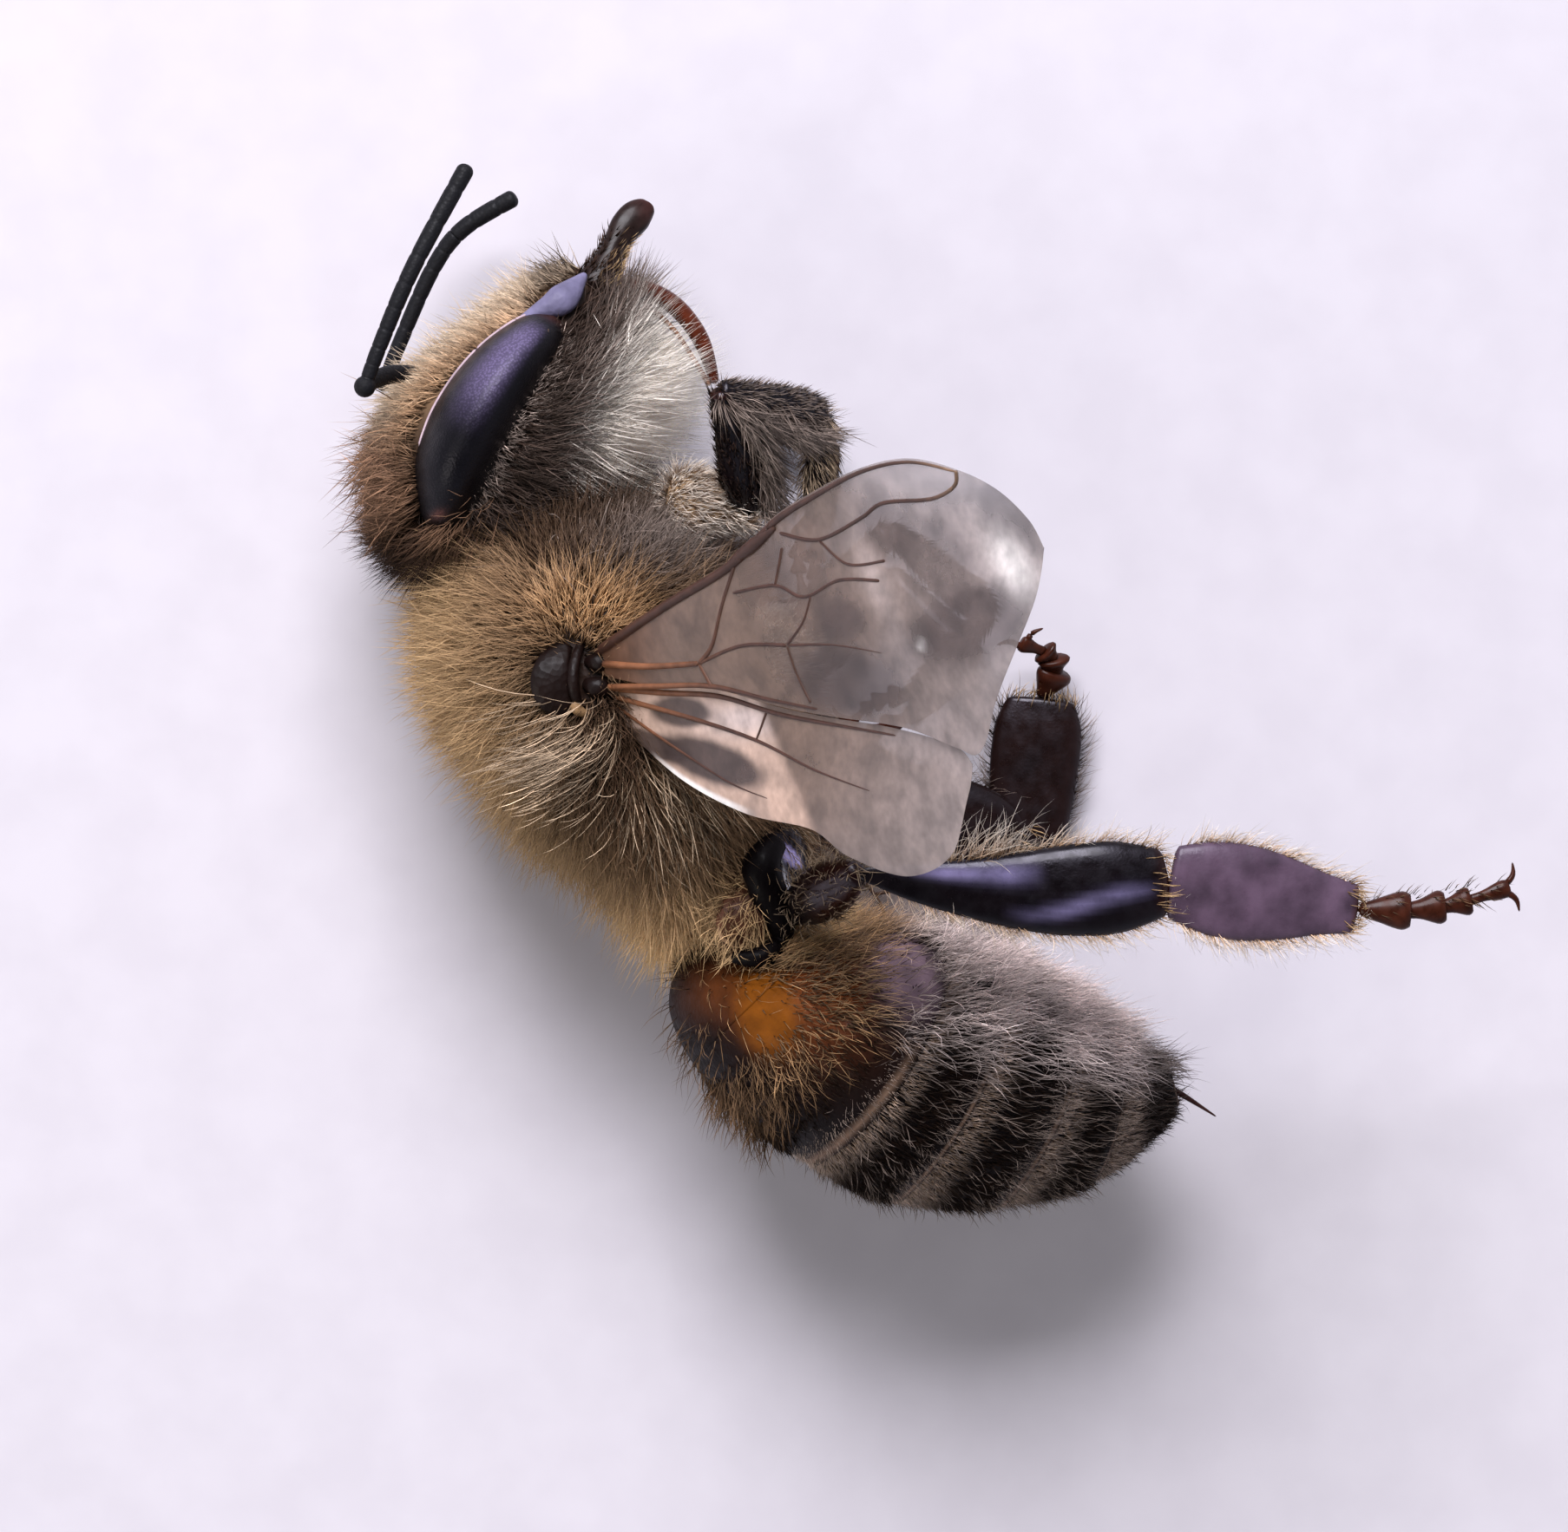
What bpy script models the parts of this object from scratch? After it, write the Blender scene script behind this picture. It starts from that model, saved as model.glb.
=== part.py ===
"""Honey bee worker, life size, lying curled on its left side with the right wings raised.

Axes: +Z is up and points out of the bee's right flank, +X runs from the antennae towards the
outstretched right hind foot, and +Y runs towards the mandibles. The origin lies on the floor under
the middle of the whole model. Lengths below are in millimetres from the middle of the thorax, and
every solid of the body and head is drawn out to the tips of its hair.
"""

import math

import bmesh
import bpy
from mathutils import Matrix, Vector

MM = 0.001

# Driving dimensions.
FLANK_HEIGHT = 2.1          # from the floor to the plane that halves the bee
THORAX_X, THORAX_Y = -3.28, 0.00  # middle of the thorax from the middle of the whole model
GAP = 0.04                  # air between two solids that meet
THIN = 0.25                 # half of the least thickness of a leg, feeler or wing
FOREWING_LENGTH = 8.6
FLAGELLUM_RADIUS = 0.25

# Directions in the plane of symmetry, in degrees from +X.
THORAX_TO_REAR = -70.7
HEAD_TO_MOUTH = 55.0
FACE_OUTWARD = HEAD_TO_MOUTH + 90.0

SIDE = Vector((0, 0, 1))    # out of the right flank
HEAD_CENTRE = Vector((-1.16, 2.71, 0))

# Half spread of each pair above and below the plane of symmetry.
EYE_OFFSET, MANDIBLE_OFFSET, SOCKET_OFFSET, TEGULA_OFFSET = 1.22, 0.42, 0.3, 1.85

solids = {}                 # node name: function that draws the solid, thicker by what it is given
hosts = []                  # furry solids, which are cut to make room for what grows from them


def clear_scene():
    for obj in list(bpy.data.objects):
        bpy.data.objects.remove(obj)


def heading(degrees):
    """Unit vector in the plane of symmetry."""
    return Vector((math.cos(math.radians(degrees)), math.sin(math.radians(degrees)), 0))


def material(name, colour, roughness, metallic=0.0):
    made = bpy.data.materials.new(name)
    made.use_nodes = True
    shader = made.node_tree.nodes["Principled BSDF"]
    shader.inputs["Base Color"].default_value = (*colour, 1)
    shader.inputs["Roughness"].default_value = roughness
    shader.inputs["Metallic"].default_value = metallic
    return made


def ellipse(centre, a, b, sides):
    """Corners of the ellipse with half axes a and b."""
    turn = 2 * math.pi / sides
    return [centre + a * math.cos(i * turn) + b * math.sin(i * turn) for i in range(sides)]


def loft(rings):
    """Closed skin through rings of corners, with a flat face at each end."""
    shape = bmesh.new()
    rows = [[shape.verts.new(corner * MM) for corner in ring] for ring in rings]
    sides = len(rows[0])
    for low, high in zip(rows, rows[1:]):
        for i in range(sides):
            j = (i + 1) % sides
            shape.faces.new((low[i], low[j], high[j], high[i]))
    shape.faces.new(rows[0])
    shape.faces.new(rows[-1])
    bmesh.ops.triangulate(shape, faces=shape.faces)
    bmesh.ops.recalc_face_normals(shape, faces=shape.faces)
    return shape


def longer(vector, by):
    return vector.normalized() * (vector.length + by)


def lofted(stations, sides, grow):
    """Loft through (centre, half axis a, half axis b); grow swells it, its two ends too."""
    first, last = stations[0][0], stations[-1][0]
    ahead = (stations[1][0] - first).normalized() * grow
    behind = (stations[-2][0] - last).normalized() * grow
    rings = [ellipse(c, longer(a, grow), longer(b, grow), sides) for c, a, b in stations]
    if grow:
        rings[0] = [corner - ahead for corner in rings[0]]
        rings[-1] = [corner - behind for corner in rings[-1]]
    return loft(rings)


def between(start, end, share):
    return start + (end - start) * share


def limb(path, broad, profile, sides, grow):
    """Tube along the points of path. profile holds (share of the length, half width along broad,
    half thickness across it), and the path is read as one smooth bend."""
    stations = []
    for share, width, thickness in profile:
        here, ahead = on_path(path, share), on_path(path, share, slope=True)
        a = (broad - ahead * broad.dot(ahead)).normalized()
        b = ahead.cross(a)
        stations.append((here, a * width, b * thickness))
    return lofted(stations, sides, grow)


def on_path(path, share, slope=False):
    """Point, or unit direction, on the Bezier curve that the points of path pull."""
    points = list(path)
    while len(points) > 2:
        points = [between(p, q, share) for p, q in zip(points, points[1:])]
    return (points[1] - points[0]).normalized() if slope else between(*points, share)


def node(name, draw, finish, is_host=False):
    """Object called name, drawn by draw(grow)."""
    mesh = bpy.data.meshes.new(name)
    shape = draw(0.0)
    shape.to_mesh(mesh)
    shape.free()
    mesh.materials.append(finish)
    mesh.shade_smooth()
    mesh.set_sharp_from_angle(angle=math.radians(50))
    obj = bpy.data.objects.new(name, mesh)
    bpy.context.scene.collection.objects.link(obj)
    solids[name] = draw
    if is_host:
        hosts.append(name)
    return obj


def cutter(name, draw):
    """Hidden object that only takes material away."""
    mesh = bpy.data.meshes.new(name)
    shape = draw(GAP)
    shape.to_mesh(mesh)
    shape.free()
    obj = bpy.data.objects.new(name, mesh)
    bpy.context.scene.collection.objects.link(obj)
    obj.hide_render = True
    obj.display_type = "WIRE"
    return obj


def cut(target, tool):
    modifier = target.modifiers.new("room_for_" + tool.name, "BOOLEAN")
    modifier.operation = "DIFFERENCE"
    modifier.solver = "EXACT"
    modifier.object = tool


# Thorax --------------------------------------------------------------------------------------

THORAX_SIDES = 20
# Distance from the middle towards the rear, then how far the hair reaches up the back, down to
# the breast, and out to each flank.
THORAX_STATIONS = (
    (-2.40, 0.95, 0.45, 0.75),
    (-2.10, 1.40, 0.85, 1.20),
    (-1.70, 1.65, 1.20, 1.55),
    (-1.10, 1.82, 1.60, 1.90),
    (-0.30, 1.95, 1.85, 2.12),
    (0.50, 1.60, 1.90, 2.15),
    (1.20, 1.22, 1.80, 1.95),
    (1.80, 0.76, 1.50, 1.55),
    (2.30, 0.45, 1.00, 1.05),
    (2.62, 0.30, 0.55, 0.60),
)
COLLAR_END, WAIST_START = -1.45, 1.50


def thorax_station(along):
    """Station of the thorax at a distance from its middle, read between its neighbours."""
    low, high = next(
        (p, q) for p, q in zip(THORAX_STATIONS, THORAX_STATIONS[1:]) if along <= q[0]
    )
    share = (along - low[0]) / (high[0] - low[0])
    back, breast, flank = (p + (q - p) * share for p, q in zip(low[1:], high[1:]))
    up = heading(THORAX_TO_REAR - 90)
    middle = heading(THORAX_TO_REAR) * along + up * (back - breast) / 2
    return middle, up * (back + breast) / 2, SIDE * flank


def thorax_run(start, end):
    """Drawing of the stretch of the thorax between two distances from its middle."""
    inner = [s[0] for s in THORAX_STATIONS if start + GAP < s[0] < end - GAP]
    stations = [thorax_station(along) for along in (start, *inner, end)]
    return lambda grow: lofted(stations, THORAX_SIDES, grow)


def build_thorax(coat):
    ends = (THORAX_STATIONS[0][0], COLLAR_END, WAIST_START, THORAX_STATIONS[-1][0])
    names = ("collar", "thorax", "waist")
    for name, start, end in zip(names, ends, ends[1:]):
        node(name, thorax_run(start + GAP / 2, end - GAP / 2), coat, is_host=True)


# Abdomen -------------------------------------------------------------------------------------

ABDOMEN_SIDES = 20
# Middle of each station, half depth from back to belly, direction of the back, half width.
ABDOMEN_STATIONS = (
    (Vector((0.98, -2.76, 0)), 0.46, 218, 0.60),
    (Vector((1.22, -2.93, 0)), 0.86, 220, 1.15),
    (Vector((1.64, -3.22, 0)), 1.14, 224, 1.70),
    (Vector((2.09, -3.47, 0)), 1.28, 232, 1.95),
    (Vector((2.55, -3.68, 0)), 1.38, 240, 2.12),
    (Vector((3.35, -3.99, 0)), 1.48, 250, 2.16),
    (Vector((4.26, -4.14, 0)), 1.38, 259, 1.92),
    (Vector((5.20, -4.25, 0)), 0.95, 268, 1.30),
    (Vector((5.70, -4.23, 0)), 0.48, 275, 0.70),
    (Vector((6.02, -4.15, 0)), 0.22, 285, 0.26),
)
# Stations that bound each ring of the abdomen. A ring's hind rim overhangs the next by RIM_STEP.
RING_BOUNDS = (0, 2, 4, 5, 6, 7, 9)
RIM_STEP = 0.05
STING_LENGTH, STING_HEADING = 0.42, -30


def abdomen_ring(first, last):
    """Drawing of one ring. Its front is drawn in a little, so that each hind rim stands proud."""
    stations = []
    for index in range(first, last + 1):
        middle, depth, back, width = ABDOMEN_STATIONS[index]
        tuck = RIM_STEP if index == first and first else 0
        stations.append((middle, heading(back) * (depth - tuck), SIDE * (width - tuck)))
    ahead = (stations[1][0] - stations[0][0]).normalized() * GAP / 2
    behind = (stations[-2][0] - stations[-1][0]).normalized() * GAP / 2
    stations[0] = (stations[0][0] + ahead, *stations[0][1:])
    stations[-1] = (stations[-1][0] + behind, *stations[-1][1:])
    return lambda grow: lofted(stations, ABDOMEN_SIDES, grow)


def build_abdomen(shell, horn):
    for number, (first, last) in enumerate(zip(RING_BOUNDS, RING_BOUNDS[1:]), 1):
        node(f"abdomen_{number}", abdomen_ring(first, last), shell, is_host=True)
    root = ABDOMEN_STATIONS[-1][0] + heading(STING_HEADING) * GAP
    tip = root + heading(STING_HEADING) * STING_LENGTH
    profile = ((0, THIN, THIN), (0.5, 0.16, 0.16), (1, 0.05, 0.05))
    node("sting", lambda grow: limb((root, tip), SIDE, profile, 8, grow), horn)


# Head ----------------------------------------------------------------------------------------

HEAD_SIDES = 16
# Distance from the middle towards the mouth, reach of the face and of the beard, half width.
HEAD_STATIONS = (
    (-1.92, 0.45, -0.15, 0.60),
    (-1.62, 0.85, -0.50, 1.15),
    (-1.10, 1.10, -0.80, 1.55),
    (-0.40, 1.20, -1.10, 1.68),
    (0.40, 1.08, -1.55, 1.60),
    (1.10, 0.84, -1.95, 1.30),
    (1.60, 0.60, -1.45, 0.95),
    (1.90, 0.42, -0.45, 0.66),
)
EYE_HALF_LENGTH, EYE_HALF_WIDTH, EYE_BULGE = 1.33, 0.56, 0.78
EYE_TURN = 3.0              # the eye leans this many degrees from the head's own line


def head_point(to_mouth, to_face, to_side=0.0):
    """Point given by its distances from the middle of the head."""
    along = heading(HEAD_TO_MOUTH) * to_mouth + heading(FACE_OUTWARD) * to_face
    return HEAD_CENTRE + along + SIDE * to_side


def draw_head(grow):
    out = heading(FACE_OUTWARD)
    stations = [
        (head_point(along, (face + beard) / 2), out * (face - beard) / 2, SIDE * width)
        for along, face, beard, width in HEAD_STATIONS
    ]
    return lofted(stations, HEAD_SIDES, grow)


def draw_eye(side):
    """Bean-shaped compound eye: rings whose size follows a half circle."""
    axis = heading(HEAD_TO_MOUTH + EYE_TURN)
    out = heading(FACE_OUTWARD + EYE_TURN)
    stations = []
    for degrees in (12, 35, 60, 90, 120, 145, 168):
        size = math.sin(math.radians(degrees))
        along = -EYE_HALF_LENGTH * math.cos(math.radians(degrees))
        middle = head_point(0, 0, side * EYE_OFFSET) + axis * along
        stations.append((middle, out * EYE_HALF_WIDTH * size, SIDE * EYE_BULGE * size))
    return lambda grow: lofted(stations, 14, grow)


def build_head(coat, eye, horn, amber):
    node("head", draw_head, coat, is_host=True)
    for word, side in (("right", 1), ("left", -1)):
        node(f"eye_{word}", draw_eye(side), eye)
        build_feeler(word, side, horn)
        build_mandible(word, side, amber)
    build_mouth(horn, amber)


def build_feeler(word, side, horn):
    socket = head_point(0.2, 1.0, side * SOCKET_OFFSET)
    # The far feeler swings a little towards the mouth and its tip droops.
    elbow = Vector((-2.46, 3.13, 1.15)) if side > 0 else Vector((-2.30, 3.20, -1.15))
    bend = Vector((-2.08, 4.15, 1.15)) if side > 0 else Vector((-1.62, 4.85, -1.05))
    tip = Vector((-1.45, 5.42, 1.00)) if side > 0 else Vector((-0.98, 5.16, -0.90))
    radius = FLAGELLUM_RADIUS
    stalk = ((0, radius, radius), (1, radius, radius))
    rod = ((0, 0.17, 0.17), (0.04, radius, radius), (0.3, radius, radius), (0.6, radius, radius))
    rod += ((0.94, radius, radius), (1, 0.15, 0.15))
    end = between(elbow, socket, 0.18)
    node(f"scape_{word}", lambda grow: limb((socket, end), SIDE, stalk, 8, grow), horn)
    start = between(elbow, bend, 0.06)
    node(f"flagellum_{word}", lambda grow: limb((start, bend, tip), SIDE, rod, 8, grow), horn)


def build_mandible(word, side, amber):
    root = Vector((-0.03, 4.12, side * MANDIBLE_OFFSET))
    tip = root + Vector((0.27, 0.80, -side * 0.12))
    profile = ((0, 0.25, 0.25), (0.5, 0.25, 0.25), (0.8, 0.27, 0.27), (1, 0.17, 0.17))
    across = heading(HEAD_TO_MOUTH)
    node(f"mandible_{word}", lambda grow: limb((root, tip), across, profile, 8, grow), amber)


def build_mouth(horn, amber):
    """Upper lip between the mandibles, and the tongue folded back under the head."""
    root = head_point(1.93, 0.12)
    lip = ((0, 0.14, 0.30), (1, 0.12, 0.24))
    tip = root + heading(HEAD_TO_MOUTH + 25) * 0.28
    across = heading(FACE_OUTWARD)
    node("upper_lip", lambda grow: limb((root, tip), across, lip, 8, grow), horn)
    fold = (Vector((0.26, 4.18, 0)), Vector((0.87, 4.03, 0)), Vector((1.10, 3.27, 0)))
    strap = ((0, 0.28, 0.28), (0.5, 0.27, 0.27), (0.85, 0.26, 0.26), (1, 0.17, 0.17))
    node("tongue", lambda grow: limb(fold, SIDE, strap, 10, grow), amber)


# Legs ----------------------------------------------------------------------------------------

JOINT_GAP = 0.05            # a segment stops this far short of the middle of each joint
# Half width and half thickness along each kind of segment, from its near to its far end.
COXA = ((0, 0.46, 0.42), (0.6, 0.42, 0.38), (1, 0.27, 0.26))
FEMUR = ((0, 0.25, 0.25), (0.3, 0.34, 0.29), (0.7, 0.32, 0.27), (1, 0.25, 0.25))
TIBIA = ((0, 0.25, 0.25), (0.35, 0.29, 0.27), (0.8, 0.30, 0.27), (1, 0.25, 0.25))
BASITARSUS = ((0, 0.25, 0.25), (0.5, 0.29, 0.26), (1, 0.25, 0.25))
TARSUS = ((0, 0.25, 0.25), (0.6, 0.26, 0.25), (1, 0.25, 0.25))
BASKET = ((0, 0.25, 0.25), (0.3, 0.33, 0.27), (0.65, 0.46, 0.27), (0.93, 0.52, 0.27), (1, 0.48, 0.25))
BRUSH = ((0, 0.40, 0.25), (0.15, 0.49, 0.27), (0.45, 0.52, 0.27), (0.85, 0.45, 0.26), (1, 0.40, 0.25))
SEGMENTS = ("coxa", "femur", "tibia", "basitarsus", "tarsus")

# Middle of each joint: body, trochanter, knee, ankle, end of the basitarsus, claws.
LEG_JOINTS = {
    "fore_right": ((0.72, 1.92, 0.40), (1.50, 1.86, 0.80), (1.18, 3.08, 1.75), (2.26, 2.84, 0.98),
                   (2.20, 1.72, 0.75), (2.05, 0.95, 1.05)),
    "fore_left": ((0.80, 1.85, -0.52), (1.52, 1.80, -0.95), (1.35, 2.90, -1.92), (2.35, 2.55, -1.30),
                  (2.20, 1.55, -1.20), (2.35, 0.85, -1.35)),
    "middle_right": ((1.50, 0.30, 0.55), (2.05, 0.62, 1.10), (2.95, 1.62, 1.95), (4.00, 0.75, 0.75),
                     (3.20, -0.10, 0.50), (2.55, -0.40, 0.45)),
    "middle_left": ((1.50, 0.05, -0.55), (2.05, 0.10, -1.05), (2.95, 1.20, -1.88), (3.85, 0.25, -1.70),
                    (3.15, -0.35, -0.85), (2.55, -0.75, -0.30)),
    "hind_right": ((1.62, -1.60, 0.60), (1.95, -2.35, 1.20), (2.62, -1.96, 2.95), (5.82, -2.06, 2.62),
                   (7.75, -2.36, 2.30), (9.35, -2.10, 2.10)),
    "hind_left": ((1.60, -1.50, -0.60), (2.05, -2.05, -1.05), (1.90, -0.55, -1.60),
                  (4.38, -1.82, -1.88), (4.56, -0.12, -1.88), (4.36, 0.44, -1.45)),
}


def leg_kinds(name):
    """Profiles of the five segments. The hind leg carries the broad basket and brush."""
    if name.startswith("hind"):
        return COXA, FEMUR, BASKET, BRUSH, TARSUS
    return COXA, FEMUR, TIBIA, BASITARSUS, TARSUS


def build_leg(name, joints, horn):
    points = [Vector(joint) for joint in joints]
    for segment, start, end, profile in zip(SEGMENTS, points, points[1:], leg_kinds(name)):
        pull = (end - start).normalized() * JOINT_GAP
        # A segment lies with its broad side in the plane of symmetry, unless it stands out of it.
        broad = SIDE.cross(end - start)
        path = (start + pull, end - pull)
        draw = lambda grow, path=path, broad=broad, profile=profile: limb(path, broad, profile, 8, grow)
        node(f"{name}_{segment}", draw, horn)


def build_legs(horn):
    for name, joints in LEG_JOINTS.items():
        build_leg(name, joints, horn)


# Wings ---------------------------------------------------------------------------------------

# Outlines in the wing's own plane: distance along the wing, distance towards its leading edge.
FOREWING = (
    (0.35, 0.10), (1.70, 0.40), (3.30, 0.75), (4.70, 1.07), (6.00, 1.25), (7.20, 1.18),
    (8.10, 0.78), (8.60, 0.05), (8.50, -0.70), (8.00, -1.33), (7.25, -1.80), (6.30, -2.00),
    (5.00, -1.72), (3.60, -1.30), (2.20, -0.92), (1.00, -0.55), (0.35, -0.30),
)
HINDWING_HUG = ((0.50, -0.44), (1.00, -0.64), (2.20, -1.01), (3.60, -1.39), (5.00, -1.81))
HINDWING_SPREAD = ((6.00, -2.10), (6.35, -2.28), (6.17, -2.58), (5.60, -2.84), (4.74, -2.84),
                   (3.33, -2.24), (2.20, -1.80), (1.20, -1.32), (0.62, -0.85))
HINDWING_TUCKED = ((5.40, -1.92), (5.20, -2.06), (4.50, -2.14),
                   (3.40, -1.98), (2.20, -1.62), (1.20, -1.20), (0.62, -0.85))
# Under the body the forewing's tip is folded back beneath the wing, along a slanting crease.
FOREWING_CREASED = FOREWING[:6] + ((6.00, -1.93),) + FOREWING[12:]
WING_ROOT = Vector((-0.09, 0.23, 1.75))
RAISED_ALONG = Vector((0.51, 0.125, 0.851))
LEFT_HEADING = -45.0        # the left wings lie folded back on the floor in this direction


def plate(outline, grow):
    """Flat plate of the least thickness, its middle plane at zero height."""
    shape = bmesh.new()
    middle = sum((Vector((u, v, 0)) for u, v in outline), Vector()) / len(outline)
    half = THIN + grow
    corners = []
    for index, (u, v) in enumerate(outline):
        before, after = outline[index - 1], outline[(index + 1) % len(outline)]
        edge = Vector((after[0] - before[0], after[1] - before[1], 0)).normalized()
        outward = Vector((-edge.y, edge.x, 0))
        if outward.dot(Vector((u, v, 0)) - middle) < 0:
            outward = -outward
        corners.append(Vector((u, v, 0)) + outward * grow)
    lower = [shape.verts.new((c - Vector((0, 0, half))) * MM) for c in corners]
    face = shape.faces.new(lower)
    made = bmesh.ops.extrude_face_region(shape, geom=[face])
    raised = [v for v in made["geom"] if isinstance(v, bmesh.types.BMVert)]
    bmesh.ops.translate(shape, verts=raised, vec=Vector((0, 0, 2 * half * MM)))
    bmesh.ops.triangulate(shape, faces=shape.faces)
    bmesh.ops.recalc_face_normals(shape, faces=shape.faces)
    return shape


def wing_place(side):
    """Matrix that carries a wing from its own plane to the body."""
    if side > 0:
        along = RAISED_ALONG.normalized()
        leading = SIDE.cross(along).normalized()
        root = WING_ROOT
    else:
        along = heading(LEFT_HEADING)
        leading = heading(LEFT_HEADING + 90)
        root = Vector((WING_ROOT.x, WING_ROOT.y, THIN - FLANK_HEIGHT))
    turn = Matrix((along, leading, along.cross(leading))).transposed().to_4x4()
    return Matrix.Translation(root * MM) @ turn


def draw_wing(outline, side):
    def draw(grow):
        shape = plate(outline, grow)
        shape.transform(wing_place(side))
        return shape
    return draw


def build_wings(membrane, horn):
    for word, side, fore, tail in (("right", 1, FOREWING, HINDWING_SPREAD),
                                   ("left", -1, FOREWING_CREASED, HINDWING_TUCKED)):
        node(f"forewing_{word}", draw_wing(fore, side), membrane)
        node(f"hindwing_{word}", draw_wing(HINDWING_HUG + tail, side), membrane)
        middle = Vector((-0.38, 0.18, side * TEGULA_OFFSET))
        profile = ((0, 0.20, 0.16), (0.25, 0.38, 0.30), (0.75, 0.38, 0.30), (1, 0.20, 0.16))
        half = heading(THORAX_TO_REAR) * 0.42
        ends = (middle - half, middle + half)
        draw = lambda grow, ends=ends: limb(ends, heading(THORAX_TO_REAR + 90), profile, 8, grow)
        node(f"tegula_{word}", draw, horn)


# Assembly ------------------------------------------------------------------------------------

def draw_floor(_grow):
    """Everything under the floor, to give flats where the bee lies on it."""
    shape = bmesh.new()
    bmesh.ops.create_cube(shape, size=40 * MM)
    bmesh.ops.translate(shape, verts=shape.verts, vec=Vector((0, 0, -20 - FLANK_HEIGHT)) * MM)
    return shape


def box_of(obj):
    corners = [vertex.co for vertex in obj.data.vertices]
    low = Vector([min(c[i] for c in corners) for i in range(3)])
    high = Vector([max(c[i] for c in corners) for i in range(3)])
    return low, high


def boxes_meet(one, other):
    (low, high), (least, most) = box_of(one), box_of(other)
    return all(low[i] <= most[i] + GAP * MM and least[i] <= high[i] + GAP * MM for i in range(3))


def make_room():
    """Cuts each furry solid back from what grows out of it or lies in its coat."""
    cutters = {name: cutter("cut_" + name, draw) for name, draw in solids.items()}
    objects = {name: bpy.data.objects[name] for name in solids}
    for host in hosts:
        for name, tool in cutters.items():
            if name not in hosts and boxes_meet(objects[host], tool):
                cut(objects[host], tool)
    cut_in_turn(objects, cutters)
    floor = cutter("floor", draw_floor)
    for name, obj in objects.items():
        if box_of(obj)[0].z < -FLANK_HEIGHT * MM:
            cut(obj, floor)


def cut_in_turn(objects, cutters):
    """Pairs of which the first gives way to the second."""
    pairs = [("head", "collar"), ("abdomen_1", "waist"), ("hind_left_tibia", "forewing_left")]
    for word in ("right", "left"):
        pairs.append((f"flagellum_{word}", f"scape_{word}"))
        pairs.append((f"tegula_{word}", f"forewing_{word}"))
        pairs.append((f"tegula_{word}", f"hindwing_{word}"))
    for leg in LEG_JOINTS:
        for near, far in zip(SEGMENTS, SEGMENTS[1:]):
            pairs.append((f"{leg}_{far}", f"{leg}_{near}"))
    for target, tool in pairs:
        cut(objects[target], cutters[tool])


def stand_on_floor():
    """One empty carries the whole bee to its place over the origin."""
    place = bpy.data.objects.new("bee_on_its_side", None)
    bpy.context.scene.collection.objects.link(place)
    place.location = Vector((THORAX_X, THORAX_Y, FLANK_HEIGHT)) * MM
    for obj in bpy.data.objects:
        if obj.type == "MESH":
            obj.parent = place


def main():
    clear_scene()
    coat = material("coat", (0.30, 0.21, 0.13), 0.85)
    shell = material("shell", (0.10, 0.065, 0.045), 0.5)
    eye = material("eye", (0.035, 0.03, 0.04), 0.25)
    horn = material("horn", (0.045, 0.032, 0.032), 0.35)
    amber = material("amber_horn", (0.22, 0.08, 0.03), 0.3)
    membrane = material("membrane", (0.45, 0.32, 0.22), 0.25)
    build_thorax(coat)
    build_abdomen(shell, horn)
    build_head(coat, eye, horn, amber)
    build_legs(horn)
    build_wings(membrane, horn)
    make_room()
    stand_on_floor()


main()
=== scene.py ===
# %% [markdown]
# # A worker honey bee, lying curled on its side
#
# The bee lies on its left flank. Its right wings stand up, its right hind leg reaches out, and its
# abdomen curls under it. Everything that follows is measured in millimetres from the middle of the
# thorax, because that is how a bee is drawn, and is carried to the shared frame at the last moment.
# +X runs from the feelers to the outstretched hind foot, +Y to the mandibles, and +Z comes out of the
# bee's right flank, so z = 0 here is the plane that halves the bee.

# %% Load the fixed frame
import bmesh
import bpy
import numpy as np
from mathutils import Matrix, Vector


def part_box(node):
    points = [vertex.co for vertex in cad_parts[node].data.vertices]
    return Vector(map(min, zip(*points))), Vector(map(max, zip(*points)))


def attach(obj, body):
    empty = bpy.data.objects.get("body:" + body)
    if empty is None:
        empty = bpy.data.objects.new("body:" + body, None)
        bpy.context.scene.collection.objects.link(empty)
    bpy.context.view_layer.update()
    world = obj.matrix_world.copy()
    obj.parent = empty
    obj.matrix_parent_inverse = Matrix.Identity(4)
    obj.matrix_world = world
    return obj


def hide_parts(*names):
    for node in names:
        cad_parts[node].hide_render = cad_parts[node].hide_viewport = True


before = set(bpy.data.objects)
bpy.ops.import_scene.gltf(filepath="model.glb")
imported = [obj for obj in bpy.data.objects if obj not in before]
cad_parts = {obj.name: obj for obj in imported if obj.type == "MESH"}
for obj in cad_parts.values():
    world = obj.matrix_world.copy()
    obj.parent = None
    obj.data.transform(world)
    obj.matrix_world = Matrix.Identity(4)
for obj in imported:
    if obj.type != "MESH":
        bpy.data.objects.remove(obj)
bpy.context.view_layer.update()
MM = 0.001

# %% [markdown]
# The two eyes stand on either side of the middle of the head, one straight above the other. Half way
# between their boxes is therefore a point that the frame itself gives, and from it the middle of the
# thorax follows.

# %% Find the middle of the thorax in the frame
HEAD_FROM_THORAX = np.array([-1.16, 2.71, 0.0])


def middle_of(node):
    """Middle of a node's box, in millimetres of the frame."""
    low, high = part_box(node)
    return (np.array(low) + np.array(high)) / 2 / MM


ORIGIN = (middle_of("eye_right") + middle_of("eye_left")) / 2 - HEAD_FROM_THORAX
FLOOR_Z = -ORIGIN[2]
SIDE = np.array([0.0, 0.0, 1.0])
print("middle of the thorax, mm:", ORIGIN.round(2), "floor at", round(FLOOR_Z, 2))

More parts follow.
